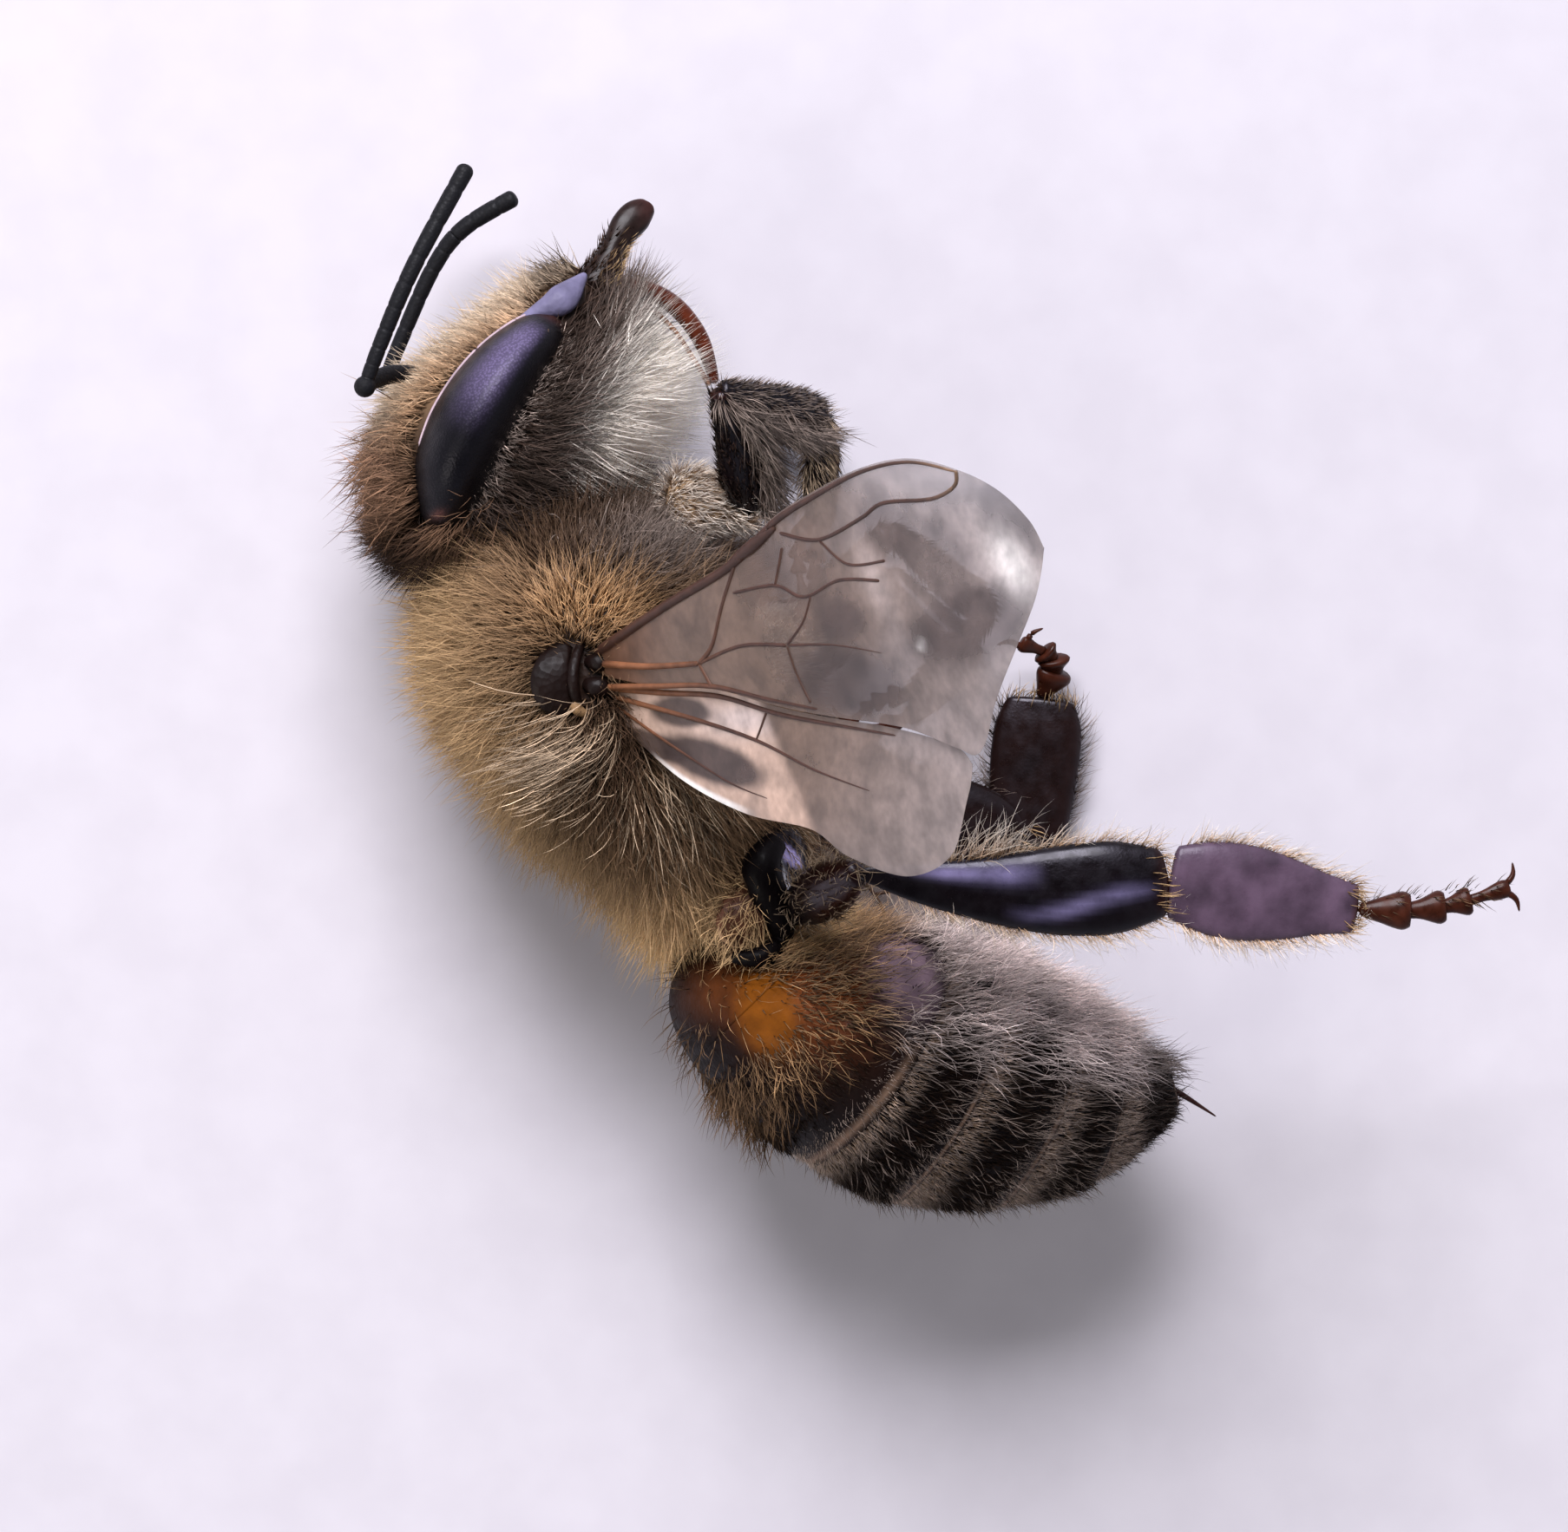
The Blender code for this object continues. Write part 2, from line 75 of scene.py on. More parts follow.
# %% [markdown]
# A few small helpers do most of the drawing. `heading` turns an angle into a direction in the plane of
# symmetry. `smooth` reads a table of stations as one soft curve: it is a Catmull-Rom spline, which
# passes through every station and needs no handles. `unit` gives vectors a length of one. `blend`,
# `ramp` and `bell` say where one colour or one kind of hair gives way to another.

# %% Directions and smooth curves
def heading(degrees):
    """Unit vectors at these angles from +X in the plane of symmetry: (cosine, sine, 0)."""
    angle = np.radians(degrees)
    return np.stack([np.cos(angle), np.sin(angle), np.zeros_like(angle)], axis=-1)


def unit(vectors):
    """Each vector divided by its own length."""
    return vectors / np.maximum(np.linalg.norm(vectors, axis=-1, keepdims=True), 1e-9)


def smooth(stations, share):
    """Catmull-Rom curve through the stations, read at each share of the way from first to last.

    Between two stations the value is the cubic that has their heights, and for slopes half of the
    step from the station before to the station after.
    """
    stations = np.asarray(stations, float)
    last = len(stations) - 1
    at = np.clip(np.asarray(share, float), 0, 1) * last
    index = np.minimum(at.astype(int), last - 1)
    t = (at - index).reshape(at.shape + (1,) * (stations.ndim - 1))
    before, after = stations[np.maximum(index - 1, 0)], stations[np.minimum(index + 2, last)]
    here, there = stations[index], stations[index + 1]
    slope_here, slope_there = (there - before) / 2, (after - here) / 2
    cubic = 2 * (here - there) + slope_here + slope_there
    square = 3 * (there - here) - 2 * slope_here - slope_there
    return ((cubic * t + square) * t + slope_here) * t + here


def blend(a, b, share):
    """a where share is 0, b where it is 1, and a mixture between."""
    share = np.asarray(share)[..., None]
    return np.asarray(a) * (1 - share) + np.asarray(b) * share


def layered(ground, *layers):
    """A ground colour with others laid over it, each a pair of a colour and its share."""
    for colour, share in layers:
        ground = blend(ground, colour, share)
    return ground


def ramp(x, start, end):
    """0 before start, 1 after end, and between them the S-shaped cubic 3x^2 - 2x^3."""
    t = np.clip((np.asarray(x, float) - start) / (end - start), 0, 1)
    return t * t * (3 - 2 * t)


def bell(x, width):
    """1 where x is 0, about a third where it is width, and nearly 0 beyond twice that."""
    return np.exp(-(x / width) ** 2)


def from_whole(x):
    """Distance of x from the nearest whole number."""
    return 0.5 - np.abs(x % 1 - 0.5)


SIDES = ((1, "right"), (-1, "left"))        # the sign of z on a side of the bee, and the side's name


# %% [markdown]
# Every new shape is a function of two numbers, `u` along it and `v` round it or across it, from 0 to 1.
# Reading the function on a grid gives rows of points, and neighbouring points make the faces. Every
# shape runs round, so its last column closes on its first, and its two ends are drawn together into
# points, so that no edge stays open. The same function is read again later, to plant the hair on it.

# %% Turn a function of two parameters into a mesh
def quads(rows, columns):
    """Corner numbers of the faces of a grid whose last column joins its first."""
    first = np.arange(columns)
    second = (first + 1) % columns
    row = np.arange(rows - 1)[:, None] * columns
    faces = np.stack([row + first, row + second, row + columns + second, row + columns + first], axis=-1)
    return faces.reshape(-1, 4)


def add_object(name, data):
    """A new object in the scene, with this mesh, lamp or camera."""
    made = bpy.data.objects.new(name, data)
    bpy.context.scene.collection.objects.link(made)
    return made


def mesh_piece(name, points, faces, tint=None, uv=None, uv_name="UVMap"):
    """Object from points in millimetres from the thorax and faces all of one size."""
    mesh = bpy.data.meshes.new(name)
    size = faces.shape[1]
    mesh.vertices.add(len(points))
    mesh.vertices.foreach_set("co", ((points + ORIGIN) * MM).astype(np.float32).ravel())
    mesh.loops.add(faces.size)
    mesh.loops.foreach_set("vertex_index", faces.astype(np.int32).ravel())
    mesh.polygons.add(len(faces))
    mesh.polygons.foreach_set("loop_start", np.arange(0, faces.size, size, dtype=np.int32))
    mesh.polygons.foreach_set("use_smooth", np.full(len(faces), True))
    if tint is not None:
        layer = mesh.color_attributes.new("tint", "FLOAT_COLOR", "POINT")
        rgba = np.concatenate([tint, np.ones((len(tint), 1))], axis=1)
        layer.data.foreach_set("color", rgba.astype(np.float32).ravel())
    if uv is not None:
        layer = mesh.uv_layers.new(name=uv_name)
        layer.data.foreach_set("uv", uv[faces.ravel()].astype(np.float32).ravel())
    mesh.update(calc_edges=True)
    mesh.validate()
    return add_object(name, mesh)


def shell(surface, rows, columns):
    """Points, faces and uv of surface(u, v) on a grid, with each end drawn into its own middle."""
    u, v = np.meshgrid(np.linspace(0, 1, rows), np.linspace(0, 1, columns, endpoint=False), indexing="ij")
    points = surface(u, v)
    ends = [np.broadcast_to(row.mean(axis=0), row.shape)[None] for row in (points[0], points[-1])]
    points = np.concatenate([ends[0], points, ends[1]])
    u, v = (np.pad(share, ((1, 1), (0, 0)), "edge") for share in (u, v))
    uv = np.stack([u.ravel(), v.ravel()], axis=-1)
    return points.reshape(-1, 3), quads(len(points), columns), uv


def joined(name, shells, tint=None):
    """One mesh of several shells. tint(points, u, v) colours them, or it is one colour for all."""
    starts = np.cumsum([0] + [len(points) for points, _, _ in shells[:-1]])
    points = np.concatenate([points for points, _, _ in shells])
    faces = np.concatenate([faces + start for (_, faces, _), start in zip(shells, starts)])
    uv = np.concatenate([uv for _, _, uv in shells])
    if tint is not None:
        colours = tint(points, uv[:, 0], uv[:, 1]) if callable(tint) else tint
        tint = np.broadcast_to(colours, points.shape)
    piece = mesh_piece(name, points, faces, tint, uv)
    finish_shell(piece)
    return piece


def finish_shell(piece):
    """Welds the closed ends and turns every face outwards."""
    shells = bmesh.new()
    shells.from_mesh(piece.data)
    bmesh.ops.remove_doubles(shells, verts=shells.verts, dist=1e-8)
    bmesh.ops.dissolve_degenerate(shells, edges=shells.edges, dist=1e-9)
    bmesh.ops.recalc_face_normals(shells, faces=shells.faces)
    shells.to_mesh(piece.data)
    shells.free()


# %% [markdown]
# Every piece is declared in one place: it rides on the model's only body, stands for the frame's nodes
# that it is a finer version of, and wears a finish.

# %% Declare a piece
def declare(piece, finish, slot, *nodes):
    """Gives a piece its material, its body and the nodes it stands for; slot is not used."""
    piece.data.materials.clear()
    piece.data.materials.append(finish)
    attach(piece, "root")
    if nodes:
        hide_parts(*nodes)
    return piece


# %% [markdown]
# A material is a small sum. Wrapping a node's socket in a class that knows `-` and `*` lets the sum be
# written as one, and each sign adds its own Math node. Colours are mixed by `mix`, because a Math node
# would turn them grey.

# %% Sums of sockets
class Sum:
    """A node socket that can be subtracted and multiplied."""

    def __init__(self, shader, socket):
        self.shader, self.socket = shader, socket

    def math(self, operation, a, b):
        """Adds a Math node."""
        return self.shader.node("ShaderNodeMath", {"operation": operation}, {0: a, 1: b})

    def __sub__(self, other):
        return self.math("SUBTRACT", self, other)

    def __rsub__(self, other):
        return self.math("SUBTRACT", other, self)

    def __mul__(self, other):
        return self.math("MULTIPLY", self, other)

    __rmul__ = __mul__


# %% [markdown]
# The second class adds nodes to one material. It has a short name for each pattern that horn and hair
# need: cloudy noise, round cells for pits and lenses, dents, and the colour of the vertices.

# %% Nodes of one material
class Finish:
    """A material under construction, with its Principled shader."""

    def __init__(self, name, **constants):
        self.material = bpy.data.materials.new(name)
        self.material.use_nodes = True
        self.tree = self.material.node_tree
        self.surface = self.tree.nodes["Principled BSDF"]
        self.sockets = {socket.name.lower().replace(" ", "_"): socket for socket in self.surface.inputs}
        for name, value in constants.items():
            self.sockets[name].default_value = value

    def node(self, kind, settings, inputs, output=0):
        """Adds a node: its settings first, then the value or link of each socket."""
        made = self.tree.nodes.new(kind)
        for setting, value in settings.items():
            setattr(made, setting, value)
        for key, value in inputs.items():
            self.connect(made.inputs[key], value)
        return Sum(self, made.outputs[output])

    def connect(self, socket, value):
        """Links a socket to a Sum, or sets it to a plain value."""
        if isinstance(value, Sum):
            self.tree.links.new(value.socket, socket)
        else:
            socket.default_value = value

    def out(self, **sockets):
        """Connects these sockets of the Principled shader; the material is then complete."""
        for name, value in sockets.items():
            self.connect(self.sockets[name], value)
        return self.material

    def place(self):
        """Object coordinates in millimetres."""
        at = self.node("ShaderNodeTexCoord", {}, {}, "Object")
        return self.node("ShaderNodeVectorMath", {"operation": "SCALE"}, {0: at, "Scale": 1 / MM})

    def noise(self, size, detail=2.0):
        """Cloudy values around a half, with lumps of about size millimetres."""
        inputs = {"Vector": self.place(), "Scale": 1 / size, "Detail": detail}
        return self.node("ShaderNodeTexNoise", {}, inputs)

    def cells(self, size):
        """Distance to the middle of the nearest of many random cells."""
        return self.node("ShaderNodeTexVoronoi", {}, {"Vector": self.place(), "Scale": 1 / size})

    def tint(self):
        """The colour that the piece's own vertices carry."""
        return self.node("ShaderNodeAttribute", {"attribute_name": "tint"}, {}, "Color")

    def spread(self, value, low, high, start=0.35, end=0.65):
        """Stretches a value from start..end to low..high, and holds it there."""
        inputs = {"Value": value, "From Min": start, "From Max": end, "To Min": low, "To Max": high}
        return self.node("ShaderNodeMapRange", {}, inputs)

    def mix(self, share, a, b, mode="MIX"):
        """Mixes two colours; a tuple of red, green and blue is opaque."""
        settings = {"data_type": "RGBA", "blend_type": mode}
        colours = [(*c, 1) if isinstance(c, tuple) else c for c in (a, b)]
        return self.node("ShaderNodeMix", settings, {0: share, 6: colours[0], 7: colours[1]}, 2)

    def grey(self, value):
        """A number as a grey, to darken or lighten a colour with."""
        return self.node("ShaderNodeCombineColor", {}, {0: value, 1: value, 2: value})

    def shaded(self, amount):
        """The colour of the piece's own vertices, multiplied by an amount."""
        return self.mix(1.0, self.tint(), self.grey(amount), "MULTIPLY")

    def mottled(self, value, low, high, start=0.3, end=0.7):
        """The same, with an amount between low and high that follows a value."""
        return self.shaded(self.spread(value, low, high, start, end))

    def bump(self, height, distance, strength=1.0):
        """Dents as deep as distance millimetres where height changes from 0 to 1."""
        inputs = {"Height": height, "Distance": distance * MM, "Strength": strength}
        return self.node("ShaderNodeBump", {}, inputs)


# %% [markdown]
# ## Floor, light and camera
#
# The camera looks straight down, because the bee is seen from the side and lies on its side. A very
# long lens far away keeps the raised wing tip at its true size. The light is that of an overcast sky:
# one large cool lamp ahead of the head, which gives the horn its violet gleam, a weak warm one behind,
# and a pale sky all round.

# %% Stage
def make_floor():
    """Sheet of pale paper, a metre to each side."""
    corners = 1000.0 * np.array([[-1, -1, 0], [1, -1, 0], [1, 1, 0], [-1, 1, 0]])
    floor = mesh_piece("floor", corners + [0, 0, FLOOR_Z], np.array([[0, 1, 2, 3]]))
    paper = Finish("floor_paper", roughness=0.9)
    grain = paper.noise(0.8, 3.0)
    colour = paper.mix(paper.spread(grain, 0.0, 1.0), (0.50, 0.475, 0.515), (0.525, 0.50, 0.54))
    floor.data.materials.append(paper.out(base_color=colour, normal=paper.bump(grain, 0.01, 0.3)))


def lamp(name, place, target, size, power, colour):
    """Square lamp: place and target in millimetres from the thorax, power in watts."""
    data = bpy.data.lights.new(name, "AREA")
    data.size, data.energy, data.color = size * MM, power, colour
    light = add_object(name, data)
    light.location = (np.array(place, float) + ORIGIN) * MM
    towards = Vector(np.array(target, float) - np.array(place, float))
    light.rotation_euler = towards.to_track_quat("-Z", "Y").to_euler()


def make_sky(low, overhead):
    """Sky bright near the horizon and dim overhead, so that polished black horn stays black."""
    world = bpy.data.worlds.new("sky")
    world.use_nodes = True
    nodes, links = world.node_tree.nodes, world.node_tree.links
    kinds = ("TexCoord", "SeparateXYZ", "MapRange")
    at, split, ramp_node = (nodes.new(f"ShaderNode{kind}") for kind in kinds)
    links.new(at.outputs["Generated"], split.inputs[0])
    links.new(split.outputs["Z"], ramp_node.inputs["Value"])
    for socket, value in (("From Min", 0.35), ("From Max", 0.9), ("To Min", low), ("To Max", overhead)):
        ramp_node.inputs[socket].default_value = value
    background = nodes["Background"]
    background.inputs["Color"].default_value = (0.86, 0.88, 1.0, 1.0)
    links.new(ramp_node.outputs["Result"], background.inputs["Strength"])
    bpy.context.scene.world = world


VIEW_WIDTH = 16.43          # millimetres across the view
VIEW_MIDDLE = np.array([1.85, -0.845, 0.0])
CAMERA_HEIGHT = 400.0


def make_camera():
    """Long lens straight above the bee."""
    data = bpy.data.cameras.new("camera")
    data.sensor_width = 36.0
    data.lens = data.sensor_width * CAMERA_HEIGHT / VIEW_WIDTH
    data.clip_start, data.clip_end = 0.01, 5.0
    camera = add_object("camera", data)
    camera.location = (VIEW_MIDDLE + ORIGIN + SIDE * CAMERA_HEIGHT) * MM
    bpy.context.scene.camera = camera


make_floor()
make_sky(0.66, 0.10)
lamp("window", (-10, 80, 95), (2, 0, 0), 70, 0.31, (0.96, 0.94, 1.0))
lamp("warm_fill", (-80, -50, 70), (2, 0, 0), 60, 0.045, (1.0, 0.94, 0.84))
make_camera()
bpy.context.scene.view_settings.view_transform = "Standard"


# %% [markdown]
# ## Horn finishes
#
# An insect wears its skeleton outside. The horn of the legs is almost black and polished, that of the
# mouth is clear amber, and that of the body is dull under the fur. All of it is finely pitted, because
# a hair grows out of each pit. Colours that follow the body come from the `tint` of its vertices, so
# that the hair can wear the same ones.

# %% Horn
SKY_GLEAM = (0.88, 0.85, 1.0, 1.0)      # the colour that polished black horn gives to its highlights


def leg_horn():
    """Polished horn, nearly black, with a violet gleam and fine grain."""
    horn = Finish("leg_horn", coat_weight=0.16, coat_roughness=0.16, specular_ior_level=0.22,
                  specular_tint=SKY_GLEAM, coat_tint=SKY_GLEAM)
    clouds, grain = horn.noise(0.35, 4.0), horn.noise(0.03, 2.0)
    return horn.out(base_color=horn.mottled(clouds, 0.55, 1.35),
                    roughness=horn.spread(horn.noise(0.15), 0.24, 0.42), normal=horn.bump(grain, 0.006, 0.35))


def body_horn():
    """Dull horn under the fur, in the body's own colours."""
    horn = Finish("body_horn", specular_ior_level=0.15)
    pits = horn.cells(0.07)
    return horn.out(base_color=horn.mottled(horn.noise(0.25, 4.0), 0.65, 1.25),
                    roughness=horn.spread(pits, 0.6, 0.45, 0.0, 0.6), normal=horn.bump(pits, 0.01, 0.7))


def glossy_shell():
    """Polished plates of the abdomen and of small bare parts."""
    plate = Finish("glossy_shell", coat_weight=0.02, coat_roughness=0.12, specular_ior_level=0.06)
    pits = plate.cells(0.05)
    return plate.out(base_color=plate.mottled(plate.noise(0.3, 3.0), 0.7, 1.25),
                     roughness=plate.spread(plate.noise(0.1), 0.46, 0.60),
                     normal=plate.bump(pits, 0.008, 0.5))


def amber_horn():
    """Clear red-brown horn of the mouth, in the piece's own colours."""
    horn = Finish("amber_horn", coat_weight=0.05, coat_roughness=0.15, specular_ior_level=0.13)
    streaks = horn.noise(0.12, 3.0)
    return horn.out(base_color=horn.mottled(streaks, 0.6, 1.3), roughness=horn.spread(streaks, 0.25, 0.42),
                    normal=horn.bump(streaks, 0.006, 0.5))


def hair_horn():
    """Hair in the colours of its vertices, with the low gloss of horn."""
    hair = Finish("hair", specular_ior_level=0.12)
    grain = hair.noise(0.05, 1.0)
    return hair.out(base_color=hair.mottled(grain, 0.85, 1.15), roughness=hair.spread(grain, 0.45, 0.6))


LEG_HORN, BODY_HORN, SHELL = leg_horn(), body_horn(), glossy_shell()
AMBER, HAIR = amber_horn(), hair_horn()


# %% [markdown]
# ## The body's colours
#
# Skin and coat share their markings. Colours are named once, as a painter would name them, and are
# turned from the values of a colour chart into the amounts of light that a shader needs.

# %% Named colours
def paint(red, green, blue):
    """Chart values from 0 to 255 as linear light, by the usual power of 2.2."""
    return (np.array([red, green, blue]) / 255) ** 2.2


DARK_FUR, UMBER_FUR, CROWN_FUR = paint(52, 37, 29), paint(112, 88, 66), paint(144, 111, 88)
TAN_FUR, FAWN_FUR, BLOND_FUR = paint(160, 129, 100), paint(196, 160, 126), paint(206, 182, 154)
ORANGE_FUR, GOLD_FUR, FACE_FUR = paint(176, 126, 82), paint(208, 174, 128), paint(222, 202, 176)
GREY_FUR, WOOL_FUR, CREAM_FUR = paint(162, 146, 136), paint(218, 202, 198), paint(246, 238, 226)
AMBER_PLATE, RED_PLATE, RUST_PLATE = paint(108, 62, 18), paint(78, 44, 22), paint(112, 62, 34)
BLACK_PLATE, MAUVE_PLATE = paint(20, 14, 14), paint(116, 97, 106)
# The lilac of the bare cheek is a painted reflection of the sky.
CHEEK_SHEEN_LILAC, RIM_TAN = paint(104, 100, 126), paint(128, 104, 88)

# %% [markdown]
# ## Body forms
#
# Head, thorax and abdomen are each a row of ovals. An oval has its own reach towards the back, towards
# the belly and to the two flanks, so a form can be flat behind and round in front. The ovals between
# the given ones come from the smooth curve through them. `oval` bends the row of ovals into place.

# %% Ovals along an axis
def oval(middle, up, back, belly, flank, v, squareness=2.0):
    """Point at share v round an oval: v = 0 on the back, 0.25 on the right flank, 0.5 on the belly.

    The cosine of the turn is multiplied by the reach to the back or to the belly, and the sine by the
    reach to the flank. squareness above 2 fills the oval's corners.
    """
    turn = 2 * np.pi * v
    rise, out = (np.sign(part) * np.abs(part) ** (2 / squareness) for part in (np.cos(turn), np.sin(turn)))
    reach = np.where(rise > 0, back, belly)
    return middle + up * (rise * reach)[..., None] + SIDE * (out * flank)[..., None]


# Distance from the middle of the head towards the mouth, reach of the face and of the nape, half width.
HEAD_OVALS = [(-1.44, 0.12, 0.02, 0.20), (-1.32, 0.42, 0.20, 0.78), (-0.95, 0.76, 0.52, 1.26),
              (-0.30, 0.95, 0.64, 1.46), (0.40, 0.80, 0.68, 1.42), (1.00, 0.62, 0.64, 1.18),
              (1.50, 0.44, 0.44, 0.90), (1.86, 0.26, 0.20, 0.55)]
TO_MOUTH, TO_FACE = heading(55.0), heading(145.0)


def head_point(mouth, face, side=0.0):
    """Point given by its distances from the middle of the head."""
    mouth, face, side = (np.asarray(x, float)[..., None] for x in (mouth, face, side))
    return HEAD_FROM_THORAX + TO_MOUTH * mouth + TO_FACE * face + SIDE * side


def head_form(u, v):
    """Head capsule: v = 0 runs down the face and v = 0.5 down the nape."""
    along, face, nape, flank = np.moveaxis(smooth(HEAD_OVALS, u), -1, 0)
    return oval(head_point(along, 0), TO_FACE, face, nape, flank, v, 2.3)


def head_place(points):
    """Distances from the middle of the head towards the mouth and towards the face."""
    away = points - HEAD_FROM_THORAX
    return away @ TO_MOUTH, away @ TO_FACE


def beard_place(points, u, v):
    """1 on the underside of the head, from behind the cheek to the mouth."""
    mouth, face = head_place(points)
    return ramp(face, -0.36, -0.58) * ramp(mouth, -0.15, 0.25) * ramp(mouth, 1.9, 1.5)


# %% [markdown]
# The thorax runs from the neck to the waist, tilted down towards the rear. The abdomen is curled, so its
# ovals stand along a bent line, each with its own direction of the back.

# %% Thorax and abdomen
# Distance from the middle of the thorax towards the rear, reach of the back and breast, half width.
THORAX_OVALS = [(-2.45, 0.25, 0.25, 0.32), (-2.10, 0.66, 0.55, 0.74), (-1.65, 1.10, 0.95, 1.20),
                (-1.05, 1.38, 1.30, 1.54), (-0.30, 1.48, 1.50, 1.74), (0.50, 1.26, 1.55, 1.76),
                (1.15, 1.00, 1.45, 1.58), (1.75, 0.48, 1.20, 1.20), (2.30, 0.22, 0.80, 0.80),
                (2.66, 0.10, 0.40, 0.40)]
TO_REAR, TO_BACK = heading(-70.7), heading(-160.7)


def thorax_form(u, v):
    """Thorax from the neck to the waist."""
    along, back, breast, flank = np.moveaxis(smooth(THORAX_OVALS, u), -1, 0)
    return oval(TO_REAR * along[..., None], TO_BACK, back, breast, flank, v)


# Middle of each oval, reach of the back and of the belly, direction of the back in degrees, half width.
ABDOMEN_OVALS = [(0.96, -2.74, 0.32, 0.32, 218, 0.42), (1.22, -2.93, 0.74, 0.70, 220, 1.02),
                 (1.64, -3.22, 1.04, 1.00, 224, 1.57), (2.09, -3.47, 1.20, 1.14, 232, 1.82),
                 (2.55, -3.68, 1.30, 1.20, 240, 1.98), (3.35, -3.99, 1.40, 1.22, 250, 2.02),
                 (4.26, -4.14, 1.28, 1.06, 259, 1.80), (5.14, -4.25, 0.88, 0.70, 268, 1.18),
                 (5.62, -4.24, 0.46, 0.38, 275, 0.62), (5.94, -4.18, 0.15, 0.14, 285, 0.20)]


def abdomen_axis(s):
    """Middle line of the abdomen: s runs from the waist to the sting."""
    x, y = np.moveaxis(smooth(ABDOMEN_OVALS, s)[..., :2], -1, 0)
    return np.stack([x, y, np.zeros_like(x)], axis=-1)


def abdomen_form(s, v):
    """Curled abdomen round that line."""
    _, _, back, belly, angle, flank = np.moveaxis(smooth(ABDOMEN_OVALS, s), -1, 0)
    return oval(abdomen_axis(s), heading(angle), back, belly, flank, v)


# %% [markdown]
# The abdomen is six horny hoops, each sliding a little under the one before it. Their hind rims slant:
# on the flank a rim lies further back than on the spine. So a hoop is the piece of the abdomen between
# two rims, swollen slightly towards its hind rim, which then turns in to a thin lip.

# %% Hoops of the abdomen
RIMS = np.array([0, 2, 4.35, 5.2, 6.16, 7.05, 9]) / 9      # share of the way from the waist to the sting
RIM_SLANT = 0.060           # how much further back a rim lies on the flank, as such a share
RIM_LIFT = 0.070            # millimetres that a hoop swells towards its rim
HOOP_TUCK = 0.05            # share that a hoop reaches under the one before it


def from_back(v):
    """0 along the spine and 1 along the middle of the belly, on both flanks."""
    return 1 - np.abs(1 - 2 * (v % 1))


def rim_at(number, v):
    """Place of a rim at share v round the body; the slant grows from the spine to the flank."""
    inner = 1 < number < 6
    return RIMS[number] + (RIM_SLANT * ramp(from_back(v), 0.0, 0.6) if inner else 0)


def hoop_form(number):
    """Surface of hoop 1 to 6, from under the hoop before it to its own hind rim."""
    def form(u, v):
        start, end = rim_at(number - 1, v), rim_at(number, v)
        s = np.clip(start + (end - start) * u - (HOOP_TUCK * (1 - u) if number > 1 else 0), 0, 1)
        swell, sink = 0.1 if number == 1 else 1.0, 0.1 if number == 2 else 1.0
        lift = RIM_LIFT * (swell * ramp(u, 0.0, 0.9) - sink * ramp(u, 0.2, 0.0))
        points = abdomen_form(s, v)
        return points + unit(points - abdomen_axis(s)) * lift[..., None]
    return form


# %% [markdown]
# A marking is a soft oval on the flank. `near` gives its strength at every point, like one touch of a
# wide brush, and `spot` gives the same touch a flat top and a crisper edge.

# %% Markings
def near(points, place, size, turned=0.0):
    """1 at a place seen from the flank, falling to 0 at about size millimetres from it.

    size may be a length and a width, and turned is then the direction of the length in degrees.
    """
    away, (long, wide) = points[..., :2] - place, np.broadcast_to(size, 2)
    lengthways, sideways = away @ heading(turned)[:2], away @ heading(turned + 90)[:2]
    return np.exp(-(lengthways / long) ** 2 - (sideways / wide) ** 2)


def spot(points, place, size, turned=0.0):
    """The same with a flat top and a crisper edge."""
    return ramp(near(points, place, size, turned), 0.25, 0.60)


def bare_patch(points):
    """1 on the mauve patch of the flank where the horn is bare."""
    return ramp(near(points, (3.10, -3.02), (0.50, 0.36), -62.0), 0.15, 0.75)


def hoop_tint(number):
    """Black-brown; in front red-brown with an amber window; mauve where the flank is bare; pale rims."""
    def tint(points, u, v):
        colour = BLACK_PLATE
        if number < 3:
            window = ramp(near(points, (1.68, -3.40), (0.34, 0.55), 10.0), 0.15, 0.75)
            colour = layered(colour, (RED_PLATE, near(points, (1.22, -3.20), (0.40, 0.30))),
                             (RUST_PLATE, near(points, (2.20, -3.20), (0.55, 0.60))), (AMBER_PLATE, window))
        if number in (2, 3):
            colour = blend(colour, MAUVE_PLATE, bare_patch(points))
        rim = ramp(u, 0.960, 0.975) * ramp(u, 1.0, 0.985) * ramp(from_back(v), 0.60, 0.40)
        return blend(colour, RIM_TAN, 0.8 * rim * (number > 1))
    return tint


# %% Build the body
def make_body():
    """Head and thorax under the fur, and the six hoops of the abdomen."""
    def head_tint(points, u, v):
        colour = blend(DARK_FUR * 0.5, TAN_FUR * 0.45, ramp(u, 0.3, 0.5) * ramp(np.abs(v - 0.5), 0.25, 0.4))
        return blend(colour, CREAM_FUR * 0.9, beard_place(points, u, v))
    declare(joined("head_skin", [shell(head_form, 96, 96)], head_tint), BODY_HORN, "coat", "head")
    thorax = joined("thorax_skin", [shell(thorax_form, 96, 96)], DARK_FUR * 0.55)
    declare(thorax, BODY_HORN, "coat", "collar", "thorax", "waist")
    for number in range(1, 7):
        hoop = joined(f"hoop_{number}", [shell(hoop_form(number), 40, 128)], hoop_tint(number))
        declare(hoop, SHELL, "shell", f"abdomen_{number}")


make_body()
